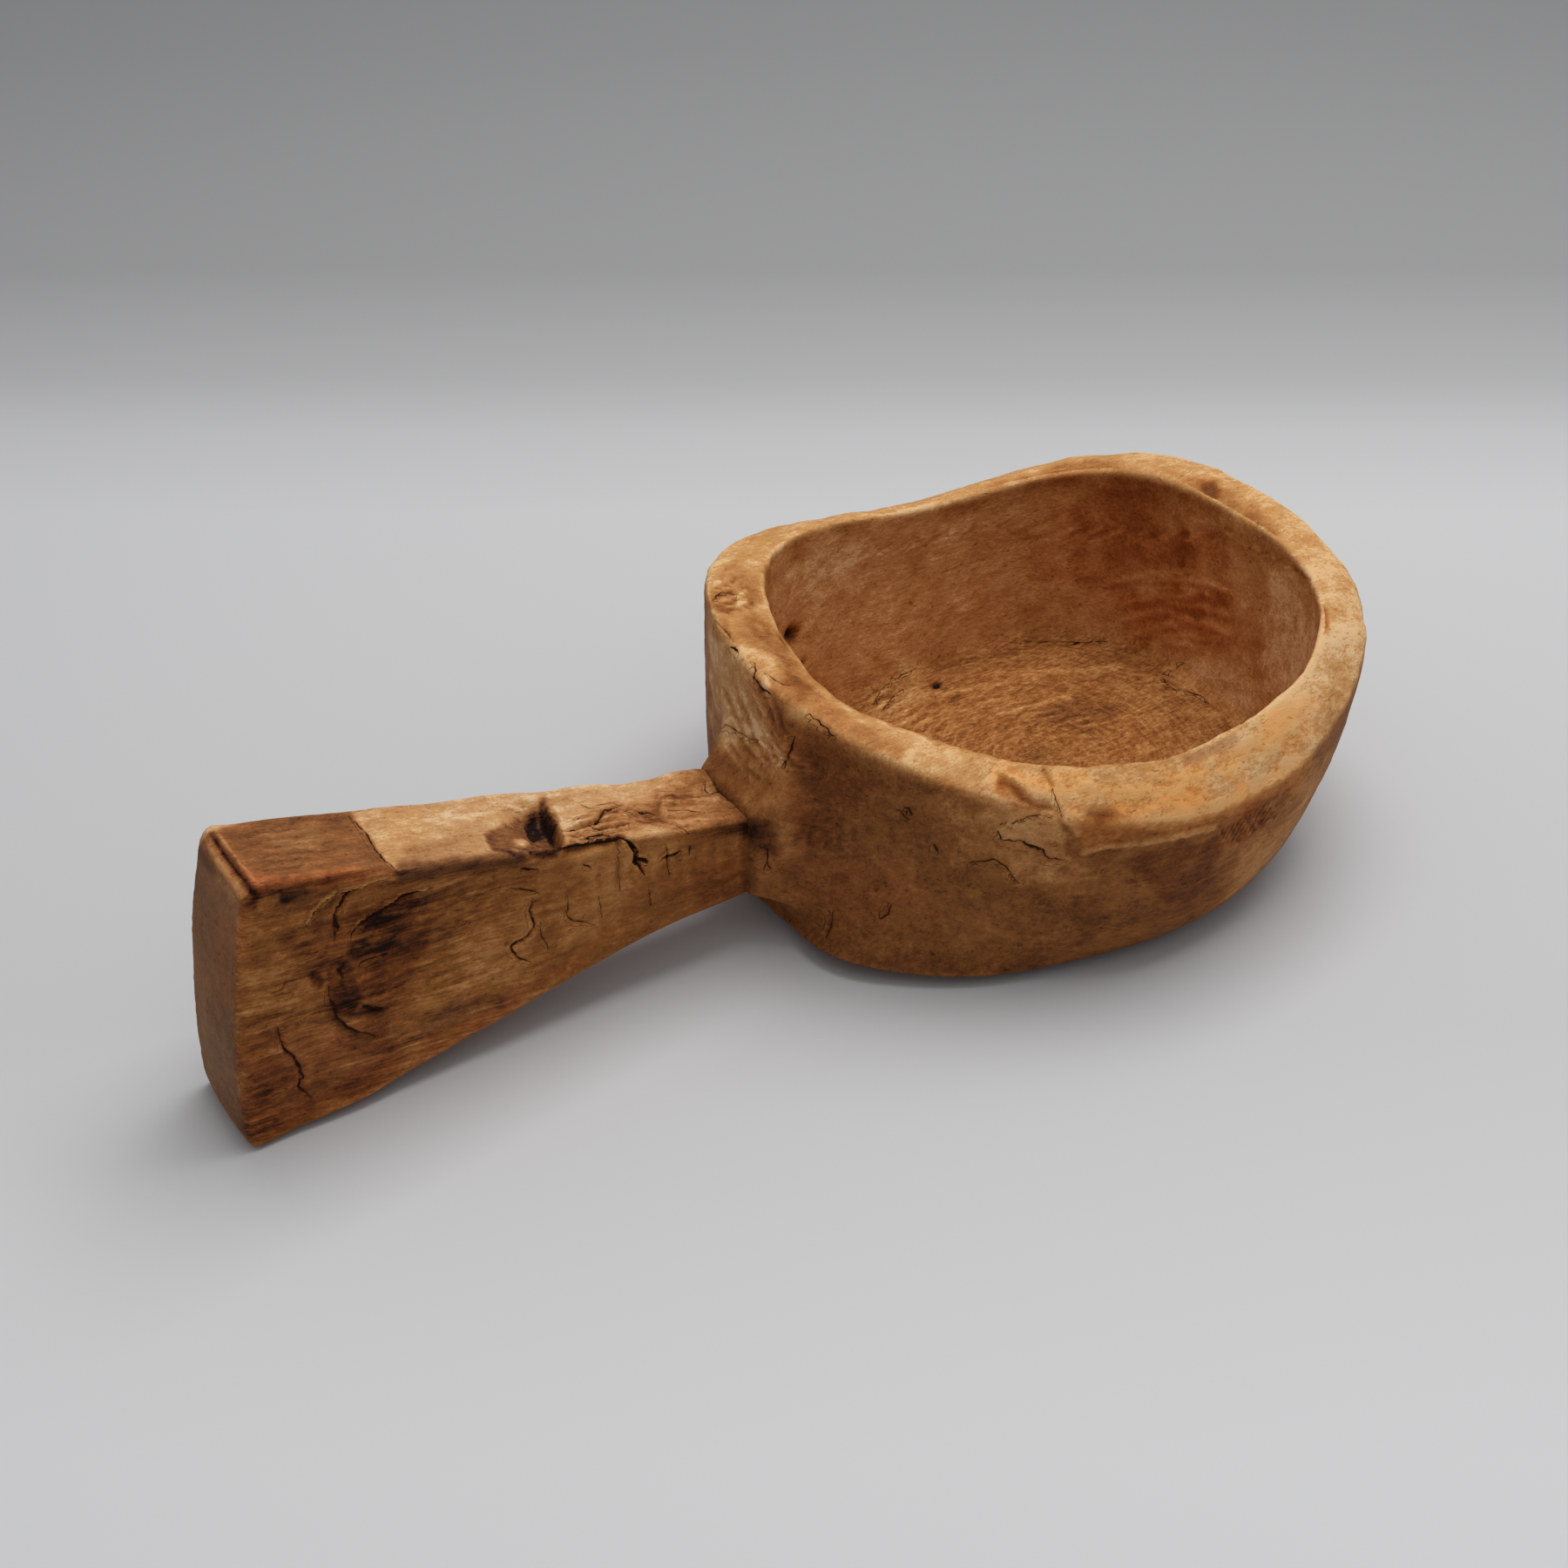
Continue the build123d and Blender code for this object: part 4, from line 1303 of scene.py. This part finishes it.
# Colours of the wood by its tone. The two ends come first
wood_stops = [
    (0.00, (0.016, 0.006, 0.003)),
    (1.00, (0.800, 0.510, 0.250)),
    (0.15, (0.070, 0.021, 0.007)),
    (0.35, (0.180, 0.058, 0.015)),
    (0.55, (0.325, 0.115, 0.028)),
    (0.75, (0.510, 0.222, 0.068)),
    (0.90, (0.640, 0.328, 0.118)),
]
red_tint = opaque((1.14, 0.74, 0.62))
grey_tint = opaque((0.95, 1.50, 3.00))
crack_colour = opaque((0.032, 0.013, 0.008))
wood_specular = 0.07
wood_roughness = 0.64
mottle_roughness = 0.5
fuzz_roughness = 0.12

# Noises of the wood: the place that each is read at, its lengths, its detail and its roughness
wood_noises = {
    "blotch": ("even", (30.0, 20.0, 20.0), 5.0, 0.6),
    "mottle": ("even", (6.0, 4.0, 4.0), 5.0, 0.65),
    "grit": ("even", (1.9, 1.1, 1.1), 3.0, 0.65),
    "dust": ("even", (0.8, 0.4, 0.4), 2.0, 0.6),
    "pits": ("even", (2.6, 1.6, 1.6), 3.0, 0.6),
    "streak": ("grain", (80.0, 5.0, 5.0), 3.0, 0.55),
    "strand": ("grain", (34.0, 1.6, 1.6), 4.0, 0.6),
    "cluster": ("grain", (34.0, 8.0, 8.0), 2.0, 0.55),
    "fibre": ("grain", (9.0, 0.6, 0.6), 2.0, 0.6),
    "vein": ("grain", (48.0, 6.0, 6.0), 2.0, 0.55),
    "vein_patch": ("even", (18.0, 9.0, 9.0), 2.0, 0.55),
    "wander": ("even", (1.2, 1.2, 1.2), 3.0, 0.55),
    "narrow": ("even", (3.2, 3.2, 3.2), 2.0, 0.55),
    "arc": ("swirl", (1.3, 1.0, 1.0), 3.0, 0.6),
}
noise_middle = 0.5

# Slow bend of the grain: lengths, detail and roughness of its noise, and how far it moves the grain
grain_bend = ((45.0, 30.0, 30.0), 2.0, 0.55)
grain_bend_reach = (0.0, 7.0, 7.0)

# Where noises about their middle are cut off: clusters of strands, veins and their patches, and pits
least_cluster, cluster_gain = 0.4, 0.9
cluster_edges = (-0.06, 0.12)
vein_edges = (0.016, 0.0)
vein_patch_edges = (-0.04, 0.12)
pit_edges = (0.10, 0.22)

# Cracks, in half widths: how far their sides wander, how they narrow, and where they and their halo fade
crack_wander = 3.0
narrow_edges = (0.10, -0.14)
least_narrow, narrow_gain = 0.7, 1.1
crack_edges = (1.2, 0.4)
halo_edges = (6.0, 0.5)

# How much of each goes into the tone and the relief: everywhere, with the grain and with raised fibres
even_tones = {"blotch": 0.30, "mottle": 0.30, "grit": 0.28, "dust": 0.30, "halo": -0.05, "pits": -0.14}
grain_tones = {"mottle": 0.55, "strand": 1.05, "streak": 0.60, "fibre": 0.60, "vein": -0.22}
fuzz_tones = {"grit": 0.45, "fibre": 0.25, "arc": 0.60, "vein": -0.11}
even_relief = {"mottle": 0.3, "crack": -0.6, "pits": -0.12}
grain_relief = {"mottle": 0.7, "strand": 1.2, "fibre": 0.35, "vein": -0.15}
fuzz_relief = {"grit": 0.6, "arc": 1.1}

# Gouge arcs on the floor of the hollow: their middle, and how many breaks they have in a turn of one radian
arc_middle = (12.0, 0.0, 0.0)
arc_run = 5.0


def carved_wood(name, grain_slope, arc_share=0.0):
    """Worn carved wood with its grain along X, falling by a slope: strands and fibres stretched along the
    grain, blotches, grit, and the stains, painted shade, painted highlight and cracks that the mesh carries
    as attributes."""
    finish, wire = new_finish(name)

    def carried(label):
        return wire.node("ShaderNodeAttribute", {"attribute_name": label}, {}, 2)

    def noise(place, lengths, detail, rough, output=0):
        spread = tuple(1 / length for length in lengths)
        inputs = {"Scale": 1.0, "Detail": detail, "Roughness": rough}
        inputs["Vector"] = wire.vector("MULTIPLY", place, spread)
        return wire.node("ShaderNodeTexNoise", {}, inputs, output)

    # Places in millimetres: even, bent and sloped with the grain, and as radius and turn about a middle
    even = wire.vector("MULTIPLY", wire.node("ShaderNodeTexCoord", {}, {}, 3), (1 / MM,) * 3)
    bend = wire.vector("SUBTRACT", noise(even, *grain_bend, output=1), (noise_middle,) * 3)
    bent = wire.vector("ADD", even, wire.vector("MULTIPLY", bend, grain_bend_reach))
    fall = wire.vector("DOT_PRODUCT", even, (grain_slope, 0, 0), output=1)
    flat = wire.vector("MULTIPLY", wire.vector("SUBTRACT", even, arc_middle), (1.0, 1.0, 0.0))
    sides = [wire.node("ShaderNodeSeparateXYZ", {}, {"Vector": flat}, axis) for axis in (0, 1)]
    turn = arc_run * wire.math("ARCTAN2", *sides)
    radius = wire.vector("LENGTH", flat, output=1)
    places = {
        "even": even,
        "grain": wire.vector("ADD", bent, wire.node("ShaderNodeCombineXYZ", {}, {"Z": fall})),
        "swirl": wire.node("ShaderNodeCombineXYZ", {}, {"X": radius, "Y": turn}),
    }

    read = {}
    for label, (where, *form) in wood_noises.items():
        read[label] = noise(places[where], *form) - noise_middle
    fuzz, grain, near = carried("fuzz"), carried("grain"), carried("crack_near")
    read["strand"] *= least_cluster + cluster_gain * read["cluster"].between(*cluster_edges)
    read["vein"] = read["vein"].size().between(*vein_edges) * read["vein_patch"].between(*vein_patch_edges)
    read["arc"] *= arc_share * fuzz
    read["pits"] = read["pits"].between(*pit_edges)
    gap = (carried("crack") + crack_wander * read["wander"]).size()
    narrow = least_narrow + narrow_gain * read["narrow"].between(*narrow_edges)
    read["crack"] = (gap * narrow).between(*crack_edges) * near
    read["halo"] = gap.between(*halo_edges) * near

    def total(shares):
        return sum(share * read[label] for label, share in shares.items())

    tone = carried("tone") + total(even_tones) + grain * total(grain_tones) + fuzz * total(fuzz_tones)
    colour = wire.node("ShaderNodeValToRGB", {"stops": wood_stops}, {"Fac": tone})
    colour = carried("warm").mixed(colour, red_tint, "MULTIPLY")
    colour = carried("grey").mixed(colour, grey_tint, "MULTIPLY")
    relief = total(even_relief) + grain * total(grain_relief) + fuzz * total(fuzz_relief)
    surface(wire, {
        "Base Color": read["crack"].mixed(colour, crack_colour),
        "Roughness": wood_roughness + mottle_roughness * read["mottle"] + fuzz_roughness * fuzz,
        "Normal": wire.node("ShaderNodeBump", {}, {"Strength": 1.0, "Distance": MM, "Height": relief}),
        "Specular IOR Level": wood_specular,
    })
    return finish


def dress(piece, finish):
    piece.data.materials.clear()
    piece.data.materials.append(finish)


# Fall of the grain in the handle, and share of the gouge arcs in the bowl
handle_grain_slope = 0.12
bowl_arc_share = 1.0

bowl_piece = bowl().build("carved_bowl")
dress(bowl_piece, carved_wood("bowl_wood_finish", 0.0, bowl_arc_share))
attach(bowl_piece, "root")
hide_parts("bowl")

handle_piece = handle().build("carved_handle")
dress(handle_piece, carved_wood("handle_wood_finish", handle_grain_slope))
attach(handle_piece, "root")
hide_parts("handle")

dress(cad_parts["tenon_wedge"], carved_wood("wedge_wood_finish", 0.0))


# Floor, light and camera

# Floor: greys by the distance behind the camera's target, painted light that falls off away from the camera.
# The near edge and the far sweep come first
floor_half = 3000.0
floor_gap = 0.1
floor_near, floor_far = -250.0, 800.0
floor_painted_light_greys = {
    -200.0: 0.71,
    750.0: 0.315,
    -60.0: 0.62,
    215.0: 0.635,
    280.0: 0.565,
    330.0: 0.455,
    440.0: 0.345,
}
floor_roughness = 0.9

# Soft lights: place, size in millimetres and power, all with one aim, and the light of the air
light_aim = (-60.0, 0.0, 0.0)
soft_lights = {
    "overhead_softbox": ((330.0, 150.0, 1320.0), 1050.0, 13.1),
    "front_softbox": ((-250.0, -500.0, 1100.0), 900.0, 1.3),
}
air_colour = opaque((0.95, 0.97, 1.0))
air_strength = 0.29

# Camera: nearest and farthest depth that it sees, in metres
clip_near, clip_far = 0.05, 20.0


def studio_floor():
    """Plain pale floor that turns to a deeper grey behind the object, along the horizontal view direction:
    its greys are painted light, brightest near the camera and falling off behind.
    """
    mesh = bpy.data.meshes.new("studio_floor")
    side = floor_half * MM
    low = -floor_gap * MM
    corners = [(-side, -side, low), (side, -side, low), (side, side, low), (-side, side, low)]
    mesh.from_pydata(corners, [], [(0, 1, 2, 3)])
    floor = bpy.data.objects.new("studio_floor", mesh)
    bpy.context.scene.collection.objects.link(floor)
    finish, wire = new_finish("studio_floor_finish")
    place = wire.node("ShaderNodeTexCoord", {}, {}, 3)
    depth = wire.vector("DOT_PRODUCT", place, tuple(view_ahead), output=1)
    start = float(view_target @ view_ahead)
    span = floor_far - floor_near
    share = (depth - (start + floor_near) * MM) * (1 / (span * MM))
    stops = [((away - floor_near) / span, (grey,) * 3) for away, grey in floor_painted_light_greys.items()]
    colour = wire.node("ShaderNodeValToRGB", {"stops": stops}, {"Fac": share})
    surface(wire, {"Base Color": colour, "Roughness": floor_roughness})
    dress(floor, finish)


def posed(right, up, back, place):
    """Matrix of an object whose X, Y and Z point right, up and back, at a place."""
    matrix = Matrix.Identity(4)
    for row in range(3):
        for column, axis in enumerate((right, up, back)):
            matrix[row][column] = axis[row]
        matrix[row][3] = place[row] * MM
    return matrix


def soft_light(name, place, size, power):
    """Square soft light at a place, facing the aim."""
    lamp = bpy.data.lights.new(name, "AREA")
    lamp.size = size * MM
    lamp.energy = power
    light = bpy.data.objects.new(name, lamp)
    bpy.context.scene.collection.objects.link(light)
    back = np.array(place) - np.array(light_aim)
    back /= np.linalg.norm(back)
    right = np.cross([0.0, 1.0, 0.0], back)
    right /= np.linalg.norm(right)
    light.matrix_world = posed(right, np.cross(back, right), back, place)


studio_floor()
for light_name, light_form in soft_lights.items():
    soft_light(light_name, *light_form)

world = bpy.data.worlds.new("studio_air")
world.use_nodes = True
world.node_tree.nodes["Background"].inputs["Color"].default_value = air_colour
world.node_tree.nodes["Background"].inputs["Strength"].default_value = air_strength
bpy.context.scene.world = world

lens = bpy.data.cameras.new("photo_camera")
lens.sensor_width = sensor_width
lens.lens = focal_pixels * sensor_width / photo_side
lens.clip_start, lens.clip_end = clip_near, clip_far
camera = bpy.data.objects.new("photo_camera", lens)
camera.matrix_world = posed(view_right, view_up, view_back, view_place)
bpy.context.scene.collection.objects.link(camera)
bpy.context.scene.camera = camera
bpy.context.scene.view_settings.view_transform = "Standard"
